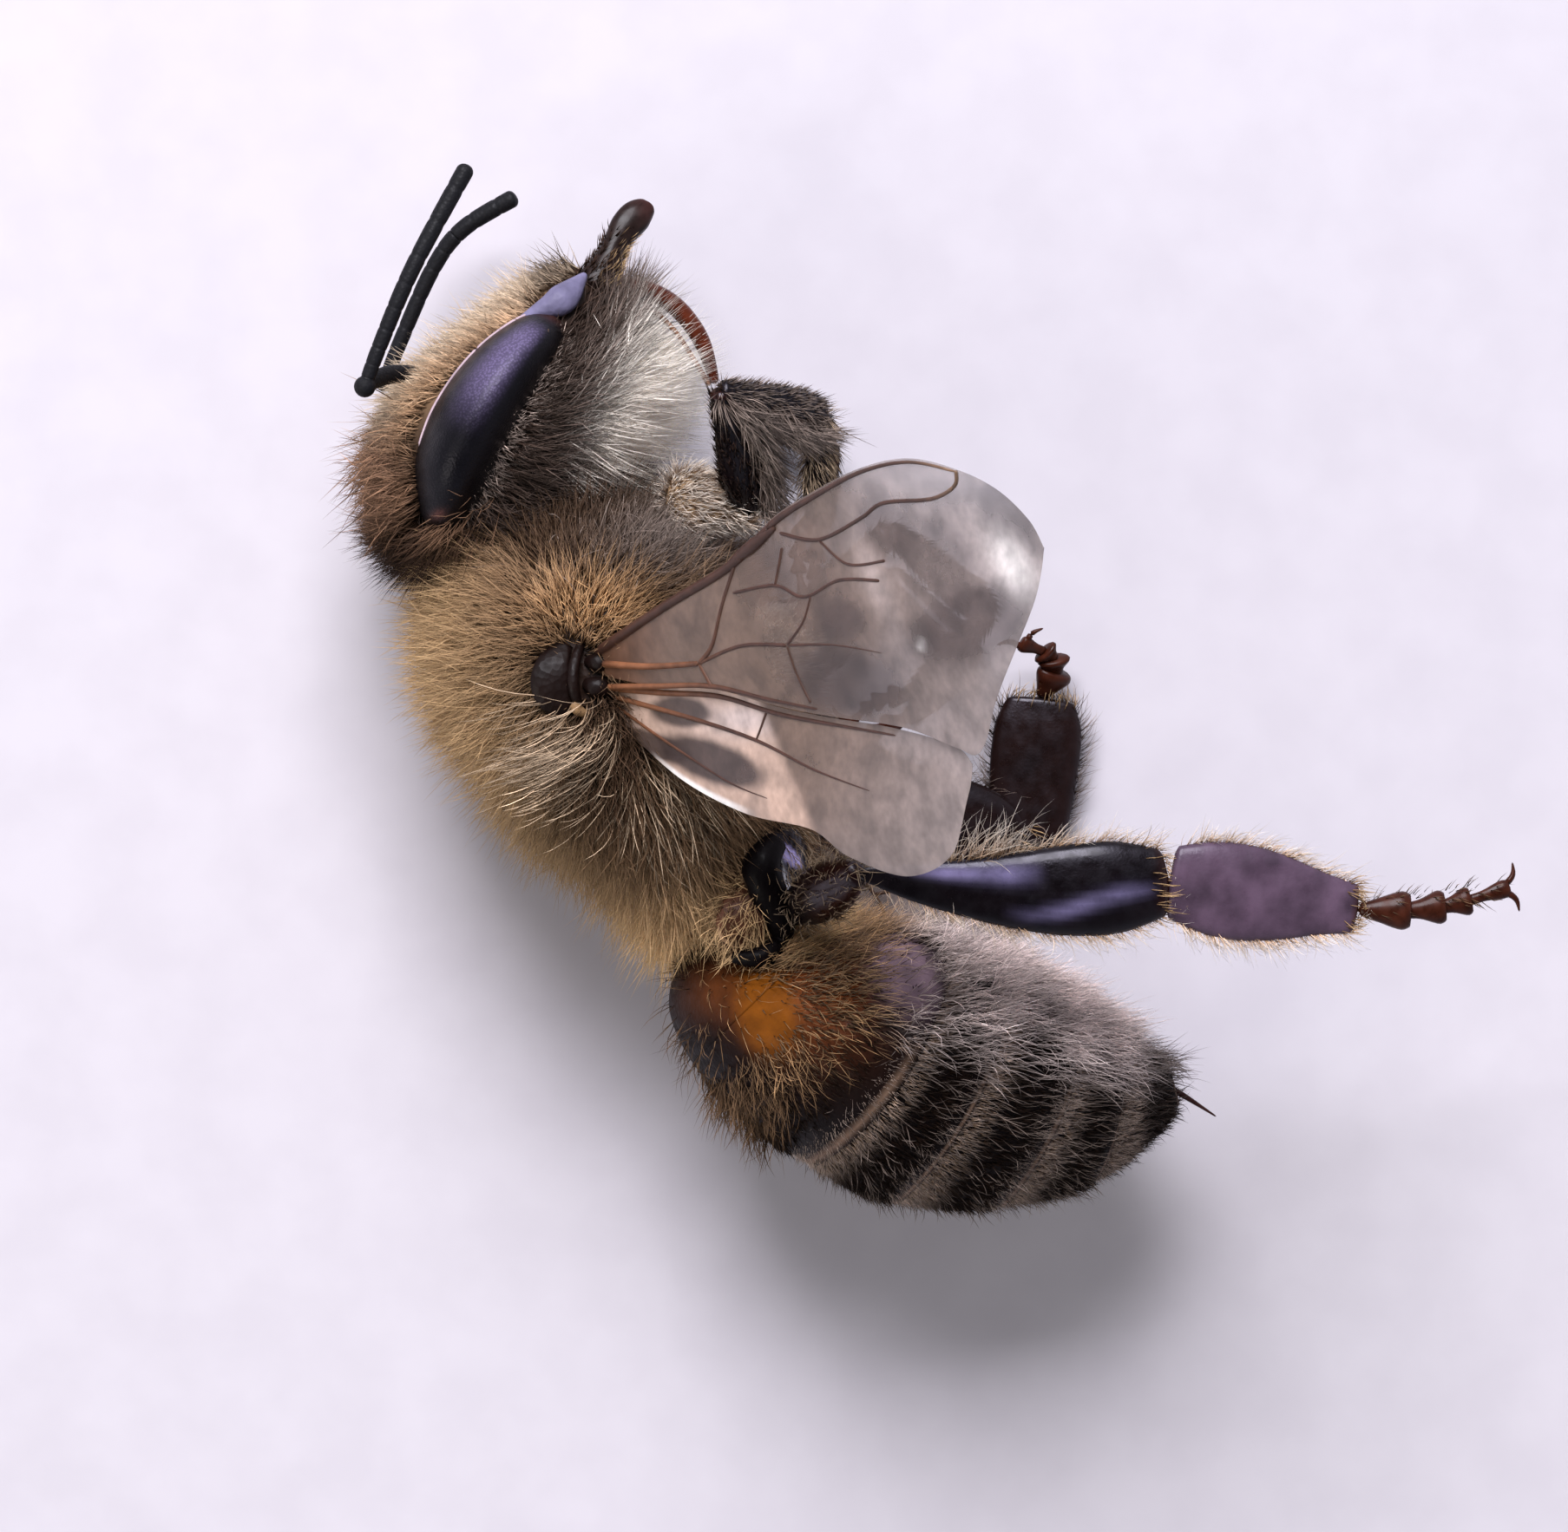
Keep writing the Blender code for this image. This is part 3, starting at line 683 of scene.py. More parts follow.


# %% [markdown]
# ## Eyes
#
# A worker's eye is a tall almond on the side of the head. Its front edge is bowed and its rear edge is
# almost straight. It is again a row of ovals, with the reach to the face, to the nape and outwards.
# Thousands of tiny lenses cover it, which only roughen its gleam, so they are a bump. A pale bare rim
# follows the front edge, and its pale pink is a painted highlight. Three simple eyes sit on top of the
# head, deep in the fur.

# %% Eyes
EYE_ALONG, EYE_ACROSS = heading(63.0), heading(153.0)
# Distance along the eye, front edge, rear edge, height of the dome, all from the middle of the head.
EYE_OVALS = [(-1.25, 0.16, -0.02, 0.16), (-1.13, 0.33, -0.16, 0.46), (-0.75, 0.58, -0.26, 0.80),
             (-0.25, 0.68, -0.26, 0.96), (0.25, 0.65, -0.26, 0.97), (0.70, 0.53, -0.26, 0.84),
             (1.05, 0.35, -0.26, 0.60), (1.22, 0.20, -0.20, 0.38), (1.30, 0.04, -0.08, 0.14)]
EYE_BASE = 0.98             # height of the eye's rim over the plane of symmetry
# The eye's violet is a painted reflection of the sky on its upper half.
EYE_BLACK, EYE_SHEEN_VIOLET, RIM_HIGHLIGHT_PINK = paint(15, 14, 17), paint(100, 90, 122), paint(168, 148, 156)
EYE_BROWN = paint(64, 42, 38)


def eye_form(side):
    """Dome of the eye on one side: v = 0 is its front edge and v = 0.25 its top."""
    def form(u, v):
        along, front, rear, dome = np.moveaxis(smooth(EYE_OVALS, u), -1, 0)
        middle = (front + rear) / 2
        centre = HEAD_FROM_THORAX + EYE_ALONG * along[..., None] + EYE_ACROSS * middle[..., None]
        half = (front - rear) / 2
        points = oval(centre, EYE_ACROSS, half, half, dome, v) + SIDE * EYE_BASE
        return points * [1, 1, side]
    return form


def eye_tint(points, u, v):
    """A painted violet reflection of the sky on the upper half, brown along the edge, and black below."""
    sheen = ramp(u, 0.36, 0.58) * ramp(u, 0.86, 0.70) * ramp(v, 0.09, 0.19) * ramp(v, 0.31, 0.22)
    edge = np.maximum(ramp(u, 0.84, 0.97), ramp(u, 0.05, 0.0))
    edge = np.maximum(edge, 0.6 * ramp(u, 0.3, 0.7) * ramp(v, 0.12, 0.05))
    colour = blend(blend(EYE_BLACK, EYE_BROWN, edge), EYE_SHEEN_VIOLET, 0.8 * sheen)
    return blend(colour, EYE_BROWN * 2.0, near(points, (-1.76, 1.78), (0.08, 0.05), 20.0))


def eye_finish():
    """Horn with the dull gleam of many tiny lenses."""
    eye = Finish("eye", coat_weight=0.03, coat_roughness=0.3, specular_ior_level=0.17,
                 specular_tint=SKY_GLEAM)
    lenses = eye.cells(0.026)
    return eye.out(base_color=eye.mottled(lenses, 1.15, 0.6, 0.2, 0.6),
                   roughness=eye.spread(eye.noise(0.2), 0.36, 0.5), normal=eye.bump(lenses, 0.006, 0.6))


# %% [markdown]
# Legs, jaws and feelers are limbs: an ellipse carried along a smooth path, with a half width and a half
# thickness that change on the way. A thread is the plainest limb, as thick as it is wide.

# %% Limbs and threads
def thread(path, radius):
    """Round thread through a row of points, of one radius or of a radius for each."""
    path = np.asarray(path, float)
    radii = np.broadcast_to(np.reshape(radius, (-1, 1)), (len(path), 1))
    return limb_form(np.hstack([path, radii, radii]), SIDE + 0.01)


ROUND_END = 0.04            # share of a limb's length over which its end is rounded off


def limb_form(stations, broad, hollow=0.0):
    """Limb through stations of place, half width along broad, and half thickness.

    The width lies along the part of broad that is square to the path, and the thickness along the
    cross product of the two. hollow scoops out the face that looks away from the floor, like a spoon.
    """
    def form(u, v):
        values, step = smooth(stations, u), 1e-3
        ahead, behind = smooth(stations, np.minimum(u + step, 1)), smooth(stations, np.maximum(u - step, 0))
        along = unit((ahead - behind)[..., :3])
        wide = unit(broad - along * (along @ broad)[..., None])
        thick = np.cross(along, wide)
        thick = thick * np.where(thick[..., 2:] < 0, -1, 1)
        turn = 2 * np.pi * v
        into_end = (1 - np.minimum(u, 1 - u) / ROUND_END).clip(0)
        rounding = np.sqrt(np.clip(1 - into_end ** 2, 0.01, 1))
        out, over = np.cos(turn) * rounding, np.sin(turn) * rounding
        over = over - hollow * np.clip(over, 0, 1) ** 2 * 2
        out, over = (values[..., 3] * out)[..., None], (values[..., 4] * over)[..., None]
        return values[..., :3] + wide * out + thick * over
    return form


def limb_piece(name, stations, broad, cells, tint):
    """A piece that is one limb, with so many cells along it and round it."""
    return joined(name, [shell(limb_form(stations, broad), *cells)], tint)


def ball(u, v):
    """Unit ball: u from one pole to the other, v round it."""
    turn, drop = 2 * np.pi * v, np.pi * (0.01 + 0.98 * u)
    return np.stack([np.sin(drop) * np.cos(turn), np.sin(drop) * np.sin(turn), np.cos(drop)], axis=-1)


# %% Build the eyes
EYE = eye_finish()
SIMPLE_EYE, ELBOW = 0.13, 0.115            # radius of a simple eye and of a feeler's elbow


def make_eyes():
    """Two domes with their rims, and three simple eyes on the crown."""
    for side, word in SIDES:
        eye = joined(f"eye_dome_{word}", [shell(eye_form(side), 96, 96)], eye_tint)
        declare(eye, EYE, "eye", f"eye_{word}")
        rim_path = eye_form(side)(np.linspace(0.30, 0.93, 9), np.full(9, 0.045))
        # The rim's pale pink is a painted highlight along the eye's front edge.
        rim = joined(f"eye_rim_{word}", [shell(thread(rim_path, 0.018), 48, 8)], RIM_HIGHLIGHT_PINK)
        declare(rim, SHELL, "coat")
    spots = [head_point(-1.52, 0.30, 0.0), head_point(-1.58, 0.10, 0.28), head_point(-1.58, 0.10, -0.28)]
    beads = [shell(lambda u, v, c=c: c + SIMPLE_EYE * ball(u, v), 16, 20) for c in spots]
    declare(joined("simple_eyes", beads, EYE_BLACK), EYE, "eye")


make_eyes()
print("eyes made:", len(EYE_OVALS), "ovals each")

# %% [markdown]
# ## Feelers
#
# A feeler has a long first joint that comes out of the face, a round second one at the elbow, and a
# whip of ten short rings. The rings are one limb whose radius dips at each tenth of its length.

# %% Feelers
FEELER_BLACK, WHIP_RINGS = paint(26, 26, 29), 10
# Socket, elbow, then the whip's path to its tip.
FEELERS = {
    "right": [head_point(0.05, 0.85, 0.30), (-2.53, 3.12, 1.15), (-2.36, 3.58, 1.17), (-2.02, 4.38, 1.15),
              (-1.45, 5.44, 1.00)],
    "left": [head_point(0.05, 0.85, -0.30), (-2.34, 3.20, -1.15), (-2.18, 3.62, -1.13), (-1.84, 4.38, -1.08),
             (-1.52, 4.80, -1.0), (-0.96, 5.14, -0.90)],
}


def whip_form(path):
    """Ten rings: the radius grows towards the tip and dips between two rings."""
    path = np.asarray(path, float)
    plain = thread(path, np.linspace(0.075, 0.095, len(path)))
    def form(u, v):
        dip = 1 - 0.07 * bell(from_whole(u * WHIP_RINGS), 0.07) * (u > 0.05) * (u < 0.96)
        middle = smooth(path, u)
        return middle + (plain(u, v) - middle) * dip[..., None]
    return form


def feeler_finish():
    """Dull slate-black horn, pitted all over by the organs of smell."""
    feeler = Finish("feeler", specular_ior_level=0.15)
    pits = feeler.cells(0.03)
    return feeler.out(base_color=feeler.mottled(pits, 1.2, 0.7, 0.1, 0.7),
                      roughness=feeler.spread(pits, 0.5, 0.65), normal=feeler.bump(pits, 0.005, 0.5))


FEELER = feeler_finish()


def make_feelers():
    """Shaft with its round elbow, and whip, on both sides."""
    for word, path in FEELERS.items():
        path = np.array([np.asarray(p, float).reshape(3) for p in path])
        socket, elbow = path[0], path[1]
        bow = (socket + elbow) / 2 + TO_FACE * 0.12
        scape = shell(thread([socket, bow, elbow], [0.085, 0.10, 0.075]), 32, 16)
        collar = shell(lambda u, v: elbow + ELBOW * ball(u, v), 16, 20)
        shaft = joined(f"feeler_shaft_{word}", [scape, collar], FEELER_BLACK)
        declare(shaft, FEELER, "horn", f"scape_{word}")
        whip = shell(whip_form(path[1:]), 241, 20)
        declare(joined(f"feeler_whip_{word}", [whip], FEELER_BLACK), FEELER, "horn", f"flagellum_{word}")


make_feelers()
print("feelers made")

# %% [markdown]
# ## Mouth
#
# Above the mouth the cheek is bare, and its lilac shine is a painted reflection of the sky. Two
# spoon-shaped jaws stand out past the lip. The folded tongue hangs in an arch: an outer sheath that is
# broad and red-brown, and an inner strand.

# %% Mouth
JAW_BROWN, JAW_TIP = paint(36, 27, 25), paint(58, 36, 34)
TONGUE_RED, TONGUE_PALE = paint(76, 35, 21), paint(128, 90, 68)


def mirrored(stations, side):
    """Stations of a limb as they are on the right, or mirrored to the left."""
    return np.array(stations) * [1, 1, side, 1, 1]


def jaw_tint(points, u, v):
    """Dark brown, and redder at the tip."""
    return blend(JAW_BROWN, JAW_TIP, ramp(u, 0.55, 0.95))


def jaw_form(side):
    """Jaw on one side: a broad root, a neck and a spoon."""
    path = [(-0.16, 4.12, 0.56, 0.24, 0.16), (0.00, 4.44, 0.50, 0.15, 0.12), (0.09, 4.64, 0.44, 0.13, 0.10),
            (0.19, 4.80, 0.40, 0.165, 0.09), (0.31, 4.93, 0.36, 0.165, 0.08),
            (0.42, 5.02, 0.32, 0.10, 0.05), (0.45, 5.05, 0.31, 0.03, 0.03)]
    return limb_form(mirrored(path, side), TO_FACE)


def make_mouth():
    """Jaws, bare cheeks, lip and folded tongue."""
    for side, word in SIDES:
        jaw = joined(f"jaw_{word}", [shell(jaw_form(side), 48, 24)], jaw_tint)
        declare(jaw, AMBER, "amber_horn", f"mandible_{word}")
        cheek = [(-0.90, 3.82, 1.04, 0.04, 0.08), (-0.66, 3.93, 1.06, 0.11, 0.12),
                 (-0.45, 4.05, 1.02, 0.16, 0.14), (-0.24, 4.28, 0.78, 0.04, 0.08)]
        # The cheek's lilac is a painted sky reflection.
        plate = limb_piece(f"cheek_{word}", mirrored(cheek, side), TO_FACE, (32, 24), CHEEK_SHEEN_LILAC)
        declare(plate, BODY_HORN, "horn")
    lip = [(-0.28, 4.06, 0.0, 0.16, 0.50), (-0.14, 4.24, 0.0, 0.13, 0.46), (0.02, 4.42, 0.0, 0.06, 0.34)]
    declare(limb_piece("lip", lip, TO_FACE, (32, 32), JAW_BROWN), LEG_HORN, "horn", "upper_lip")
    sheath = [(0.02, 4.14, 0.18, 0.10, 0.16), (0.34, 4.16, 0.18, 0.10, 0.15), (0.70, 3.98, 0.16, 0.10, 0.13),
              (0.98, 3.62, 0.13, 0.09, 0.11), (1.13, 3.16, 0.10, 0.05, 0.08)]
    strand = [(0.10, 4.00, 0.16, 0.035, 0.06), (0.44, 3.94, 0.16, 0.03, 0.05),
              (0.70, 3.72, 0.14, 0.028, 0.05), (0.90, 3.42, 0.12, 0.028, 0.05),
              (1.07, 3.14, 0.10, 0.03, 0.04)]
    dark = limb_piece("tongue_folded", sheath, heading(60.0), (64, 16), TONGUE_RED)
    declare(dark, AMBER, "amber_horn", "tongue")
    pale = limb_piece("tongue_strand", strand, heading(60.0), (64, 12), TONGUE_PALE)
    declare(pale, AMBER, "amber_horn")


make_mouth()
print("mouth made")

# %% [markdown]
# ## Legs
#
# Each leg has the same joints: a stout hip, a thigh, a shin, a long first foot joint and a chain of
# four cups that ends in two claws. The parts are rounded limbs with half widths that swell and narrow
# along them. The hind shin and foot are flat plates, hollowed on the outside to carry pollen.

# %% Legs
# LEG_GLEAM is the violet of a painted sky reflection on the black horn.
LEG_BLACK, LEG_VIOLET, LEG_GLEAM = paint(18, 13, 15), paint(78, 63, 76), paint(132, 124, 164)
FOOT_RED, THIGH_RED, HIDDEN_PLATE = paint(58, 30, 21), paint(44, 14, 8), paint(30, 20, 18)
COXA_TAN, HIP_BROWN = paint(150, 124, 92), paint(86, 56, 42)
# Hip, hip's end, knee, ankle, end of the first foot joint, claws.
LEG_JOINTS = {
    "fore_right": [(0.72, 1.92, 0.40), (1.50, 1.86, 0.80), (1.18, 3.08, 1.75), (2.26, 2.84, 0.98),
                   (2.14, 1.82, 0.78), (2.05, 0.95, 1.05)],
    "fore_left": [(0.80, 1.85, -0.52), (1.52, 1.80, -0.95), (1.35, 2.90, -1.92), (2.35, 2.55, -1.30),
                  (2.20, 1.55, -1.20), (2.35, 0.85, -1.35)],
    "middle_right": [(1.50, 0.30, 0.55), (2.05, 0.62, 1.10), (2.95, 1.62, 1.95), (4.00, 0.75, 0.75),
                     (3.20, -0.10, 0.50), (2.55, -0.40, 0.45)],
    "middle_left": [(1.50, 0.05, -0.55), (2.05, 0.10, -1.05), (2.95, 1.20, -1.88), (3.85, 0.25, -1.70),
                    (3.15, -0.35, -0.85), (2.55, -0.75, -0.30)],
    "hind_right": [(1.62, -1.60, 0.60), (1.95, -2.35, 1.20), (2.62, -1.96, 2.95), (5.86, -2.05, 2.62),
                   (7.83, -2.34, 2.30), (9.38, -2.12, 2.10)],
    "hind_left": [(1.60, -1.50, -0.60), (2.05, -2.05, -1.05), (1.90, -0.55, -1.60), (4.38, -1.82, -1.88),
                  (4.56, -0.12, -1.88), (4.36, 0.44, -1.45)],
}
# Half widths from one joint to the next, and thickness as a share of the width.
SLIM_SHAPES = {"coxa": ([0.30, 0.34, 0.28, 0.20, 0.17], 0.9), "femur": ([0.16, 0.23, 0.21, 0.15, 0.12], 0.85),
               "tibia": ([0.11, 0.15, 0.18, 0.20, 0.15], 0.75),
               "basitarsus": ([0.09, 0.12, 0.13, 0.12, 0.09], 0.7)}
HIND_SHAPES = {"coxa": ([0.34, 0.40, 0.34, 0.27, 0.20], 0.9), "femur": ([0.17, 0.26, 0.30, 0.24, 0.13], 0.8),
               "tibia": ([0.055, 0.19, 0.29, 0.39, 0.47, 0.48, 0.33], 0.42),
               "basitarsus": ([0.37, 0.48, 0.50, 0.44, 0.33, 0.25], 0.34)}
CUP_WIDTHS = [(0.045, 0.155), (0.065, 0.135), (0.055, 0.115), (0.045, 0.075)]


# %% Limbs and feet
def cup_form(start, end, base, mouth, broad):
    """One cup of the foot: narrow at its base, broadest just before its end."""
    path = [start + (end - start) * t for t in (0, 0.35, 0.8, 1)]
    sizes = [(base, base * 0.7), (mouth * 0.6, mouth * 0.4), (mouth, mouth * 0.62),
             (mouth * 0.8, mouth * 0.5)]
    return limb_form(np.hstack([path, sizes]), broad)


def foot_shells(start, end, broad, scale, sag):
    """Four cups in a chain that sags to one side, and two claws that spread from the last one."""
    along, chain = unit(end - start), []
    stops = np.array([0.0, 0.32, 0.56, 0.74, 1.0])
    places = start + (end - start) * stops[:, None] - broad * sag * np.sin(np.pi * stops[:, None])
    for (base, mouth), near_end, far_end in zip(CUP_WIDTHS, places, places[1:]):
        far_end = far_end + (far_end - near_end) * 0.10
        chain.append(shell(cup_form(near_end, far_end, base * scale, mouth * scale, broad), 14, 14))
    across = unit(np.cross(along, np.cross(broad, along)))
    for way in (-1, 1):
        claw = [end - along * 0.06, end + along * 0.08 + across * way * 0.12,
                end + along * 0.10 + across * way * 0.26]
        chain.append(shell(thread(claw, [0.04, 0.03, 0.008]), 12, 8))
    return chain


def leg_part_form(start, end, shape, broad, hollow, bow):
    """Limb between two joints; bow moves its middle sideways along broad."""
    widths, flatness = shape
    share = np.linspace(0, 1, len(widths))[:, None]
    path = start + (end - start) * share + unit(broad) * bow * np.sin(np.pi * share)
    sizes = np.array(widths)[:, None]
    return limb_form(np.hstack([path, sizes, sizes * flatness]), broad, hollow)


LEG_PARTS = {}              # name of a leg part -> its surface, to plant hair on later


# %% [markdown]
# The legs are black, but not evenly so. The right hind leg shows most of it: a dark red thigh, a shin
# with painted violet streaks of sky reflection, and a violet-brown foot that turns golden at its edge.

# %% Colours of the legs
def leg_tint(points, u, v):
    """Black, and red-brown at the joint."""
    return blend(LEG_BLACK, FOOT_RED, 0.6 * ramp(u, 0.93, 1.0))


def shin_tint(points, u, v):
    """Black with two painted violet reflections of the sky: one along the upper edge first, then one along
    the lower.
    """
    across = np.cos(2 * np.pi * v)
    upper = bell(across - 0.60 + 0.3 * u, 0.24) * ramp(u, 0.08, 0.25) * ramp(u, 0.62, 0.45)
    lower = bell(across + 0.62 - 0.5 * ramp(u, 0.5, 0.9), 0.16) * ramp(u, 0.45, 0.62) * ramp(u, 0.97, 0.86)
    return blend(leg_tint(points, u, v), LEG_GLEAM, np.maximum(0.75 * upper, 0.40 * lower))


def thigh_tint(points, u, v):
    """Clear dark red, black at the root."""
    return blend(LEG_BLACK, THIGH_RED * 0.5, ramp(u, 0.25, 0.75))


def hip_tint(points, u, v):
    """Black with one painted violet highlight on top."""
    return blend(leg_tint(points, u, v), LEG_GLEAM * 1.2, spot(points, (1.92, -1.79), (0.17, 0.07), -48.0))


def foot_plate_tint(points, u, v):
    """Violet-brown, golden at the far edge."""
    return blend(LEG_VIOLET, FOOT_RED * 1.6, ramp(u, 0.94, 1.0))


# %% Build the legs
def make_leg(word, joints):
    """Four limbs and a foot between the joints of one leg."""
    joints = np.array(joints)
    hind = word.startswith("hind")
    shapes, cells = (HIND_SHAPES, (56, 40)) if hind else (SLIM_SHAPES, (36, 28))
    if word == "hind_left":
        shapes = {**shapes, "basitarsus": ([0.30, 0.40, 0.44, 0.46, 0.47, 0.45, 0.34], 0.34)}
    for part, start, end in zip(shapes, joints, joints[1:]):
        in_plane = np.cross(SIDE, unit(end - start)) if hind else np.cross(SIDE + 0.2, unit(end - start))
        flat = part in ("tibia", "basitarsus")
        hollow = 0.16 if hind and flat else 0.0
        bow = -0.14 if word == "hind_right" and part == "tibia" else 0.0
        form = leg_part_form(start, end, shapes[part], unit(in_plane), hollow, bow)
        LEG_PARTS[f"{word}_{part}"] = form
        colour = (hip_tint if hind else COXA_TAN) if part == "coxa" else leg_tint
        if word == "hind_right":
            own = {"femur": thigh_tint, "tibia": shin_tint, "basitarsus": foot_plate_tint}
            colour = own.get(part, colour)
        elif word == "hind_left" and flat:
            colour = HIDDEN_PLATE
        piece = joined(f"leg_{word}_{part}", [shell(form, *cells)], colour)
        declare(piece, LEG_HORN, "horn", f"{word}_{part}")
    heel, claws = joints[4:]
    broad = np.cross(SIDE, unit(claws - heel))
    foot = foot_shells(heel, claws, broad, 1.3 if hind else 0.8, 0.32 if word == "hind_left" else 0.10)
    declare(joined(f"leg_{word}_foot", foot, FOOT_RED), AMBER, "horn", f"{word}_tarsus")
    if word == "hind_right":
        LEG_PARTS[f"{word}_foot"] = limb_form([(*heel, 0.10, 0.08), (*claws, 0.07, 0.06)], broad)


def make_hip_lobe():
    """Brown plate in front of the right hind hip, its pale lip, and a dark spur below it."""
    plate = limb_form([(1.66, -1.95, 1.10, 0.08, 0.05), (1.46, -2.22, 1.34, 0.20, 0.05),
                       (1.40, -2.50, 1.38, 0.26, 0.05), (1.48, -2.76, 1.24, 0.16, 0.04)], heading(20.0))
    lip = thread([(1.18, -2.46, 1.39), (1.19, -2.62, 1.40), (1.34, -2.74, 1.36)], [0.012, 0.024, 0.012])
    spur = thread([(1.84, -2.66, 1.25), (1.62, -2.84, 1.40), (1.30, -2.84, 1.38)], [0.10, 0.12, 0.06])
    knob = limb_form([(1.78, -1.62, 1.30, 0.12, 0.12), (1.62, -1.86, 1.45, 0.20, 0.18),
                      (1.66, -2.10, 1.45, 0.20, 0.18), (1.80, -2.40, 1.35, 0.17, 0.16),
                      (1.84, -2.70, 1.20, 0.10, 0.10)], heading(20.0))
    LEG_PARTS["hip_right_plate"] = plate
    declare(joined("hip_plate", [shell(plate, 32, 24)], HIP_BROWN), BODY_HORN, "horn")
    declare(joined("hip_lip", [shell(lip, 24, 12)], TAN_FUR), BODY_HORN, "horn")
    declare(joined("hip_spur", [shell(spur, 24, 16), shell(knob, 32, 24)], LEG_BLACK * 0.7), SHELL, "horn")


for word, joints in LEG_JOINTS.items():
    make_leg(word, joints)
make_hip_lobe()
print("leg parts:", len(LEG_PARTS))

# %% [markdown]
# ## Wings
#
# A wing is a film held out by veins. The film is drawn between the leading and the trailing edge, both
# read at the same share of the way to the tip, and it is pleated a little along its length, which is
# what keeps a real one stiff. The veins are threads laid on it. The fore and the hind wing hook
# together in the pair that is raised. The pair underneath lies flat on the floor, and the tip of its
# forewing is folded under along a crease.

# %% Wings
# Span and distance towards the leading edge, in the plane of the wing, from the wing's root.
FORE_LEAD = [(0.0, 0.14), (1.64, 0.45), (2.94, 0.69), (3.94, 1.01), (4.93, 1.17), (6.04, 1.29), (6.94, 1.26),
             (7.76, 1.03), (8.39, 0.73), (8.78, 0.35), (8.91, 0.03)]
FORE_TRAIL = [(-0.05, -0.12), (0.95, -0.36), (2.02, -0.52), (3.02, -0.84), (4.0, -1.10), (5.47, -1.42),
              (6.40, -1.74), (6.87, -1.85), (7.40, -1.40), (8.12, -0.90), (8.60, -0.47), (8.91, 0.03)]
HIND_LEAD = [(-0.10, -0.20), (1.03, -0.40), (2.08, -0.57), (3.06, -0.88), (4.0, -1.13), (5.20, -1.40),
             (6.30, -1.72), (6.60, -1.95)]
HIND_TRAIL = [(-0.15, -0.40), (0.30, -0.89), (1.05, -1.42), (2.20, -1.90), (3.35, -2.21), (3.89, -2.58),
              (4.85, -2.92), (5.83, -2.79), (6.44, -2.24), (6.60, -1.95)]
HIND_TUCKED_LEAD = [(0.0, -0.20), (1.03, -0.38), (2.08, -0.52), (3.06, -0.84), (4.0, -1.10), (5.0, -1.40),
                    (5.4, -1.55)]
HIND_TUCKED_TRAIL = [(0.0, -0.30), (0.60, -0.75), (1.20, -1.12), (2.20, -1.52), (3.40, -1.86),
                     (4.60, -1.98), (5.4, -1.60)]
FORE_VEINS = [
    ([(0.0, 0.10), (1.64, 0.40), (2.94, 0.64), (3.94, 0.96), (4.93, 1.12), (6.04, 1.25), (6.94, 1.22),
      (7.76, 1.0)], [0.060, 0.052, 0.052, 0.040, 0.030, 0.022, 0.018, 0.014]),
    ([(2.90, 0.66), (3.40, 0.78), (3.98, 0.92)], [0.03, 0.075, 0.03]),
    ([(0.0, 0.0), (1.0, -0.16), (2.01, -0.26)], [0.045, 0.036, 0.030]),
    ([(3.03, 0.64), (2.78, 0.34), (2.40, -0.09), (2.01, -0.26)], 0.026),
    ([(2.01, -0.26), (2.09, -0.53)], 0.024),
    ([(-0.1, -0.25), (1.03, -0.38), (2.08, -0.52), (3.06, -0.80), (3.9, -1.02)],
     [0.036, 0.032, 0.028, 0.022, 0.014]),
    ([(2.01, -0.26), (2.89, -0.19), (3.75, -0.30)], 0.022),
    ([(3.75, -0.30), (3.74, -0.63), (3.81, -0.94)], 0.018),
    ([(4.01, 0.85), (4.77, 0.68), (5.67, 0.78), (6.21, 0.88), (7.09, 0.80), (7.61, 0.87), (7.75, 1.02)],
     0.022),
    ([(2.93, 0.36), (3.76, 0.33), (4.31, 0.14), (5.05, 0.22), (5.85, 0.11)], 0.020),
    ([(4.01, 0.70), (3.76, 0.33)], 0.020),
    ([(4.77, 0.68), (5.26, 0.36), (6.0, 0.30)], 0.018),
    ([(3.75, -0.30), (4.20, -0.10), (4.44, 0.13)], 0.018),
    ([(3.75, -0.30), (4.70, -0.42), (5.60, -0.62)], [0.018, 0.014, 0.008]),
]
HIND_VEINS = [
    ([(-0.10, -0.26), (1.03, -0.46), (2.08, -0.64), (3.06, -0.96), (4.0, -1.20), (5.20, -1.48)],
     [0.040, 0.034, 0.030, 0.026, 0.020, 0.012]),
    ([(0.0, -0.36), (1.30, -0.74), (2.60, -1.18), (3.60, -1.62), (4.60, -1.98)],
     [0.034, 0.028, 0.022, 0.016, 0.010]),
    ([(2.60, -1.18), (2.90, -0.90)], 0.018),
    ([(0.0, -0.44), (0.90, -0.98), (1.90, -1.50), (2.70, -1.80)], [0.026, 0.020, 0.014, 0.008]),
]
FILM = 0.008                # half of the film's thickness, in millimetres
VEIN_BROWN = paint(66, 44, 36)


# %% [markdown]
# A wing is worked out flat, as span, distance across and height, and then carried to its place: raised
# over the body, or lying on the floor. Film and veins use the same way there, so they stay together.

# %% Film and veins in their place
def pleat(span, across):
    """Height of the pleats: waves that run out from the root and grow towards the tip."""
    waves = 0.05 * ramp(span, 0.2, 2.5) * np.sin(3.1 * across + 0.5 * span)
    return waves + 0.03 * np.sin(1.3 * span + across)


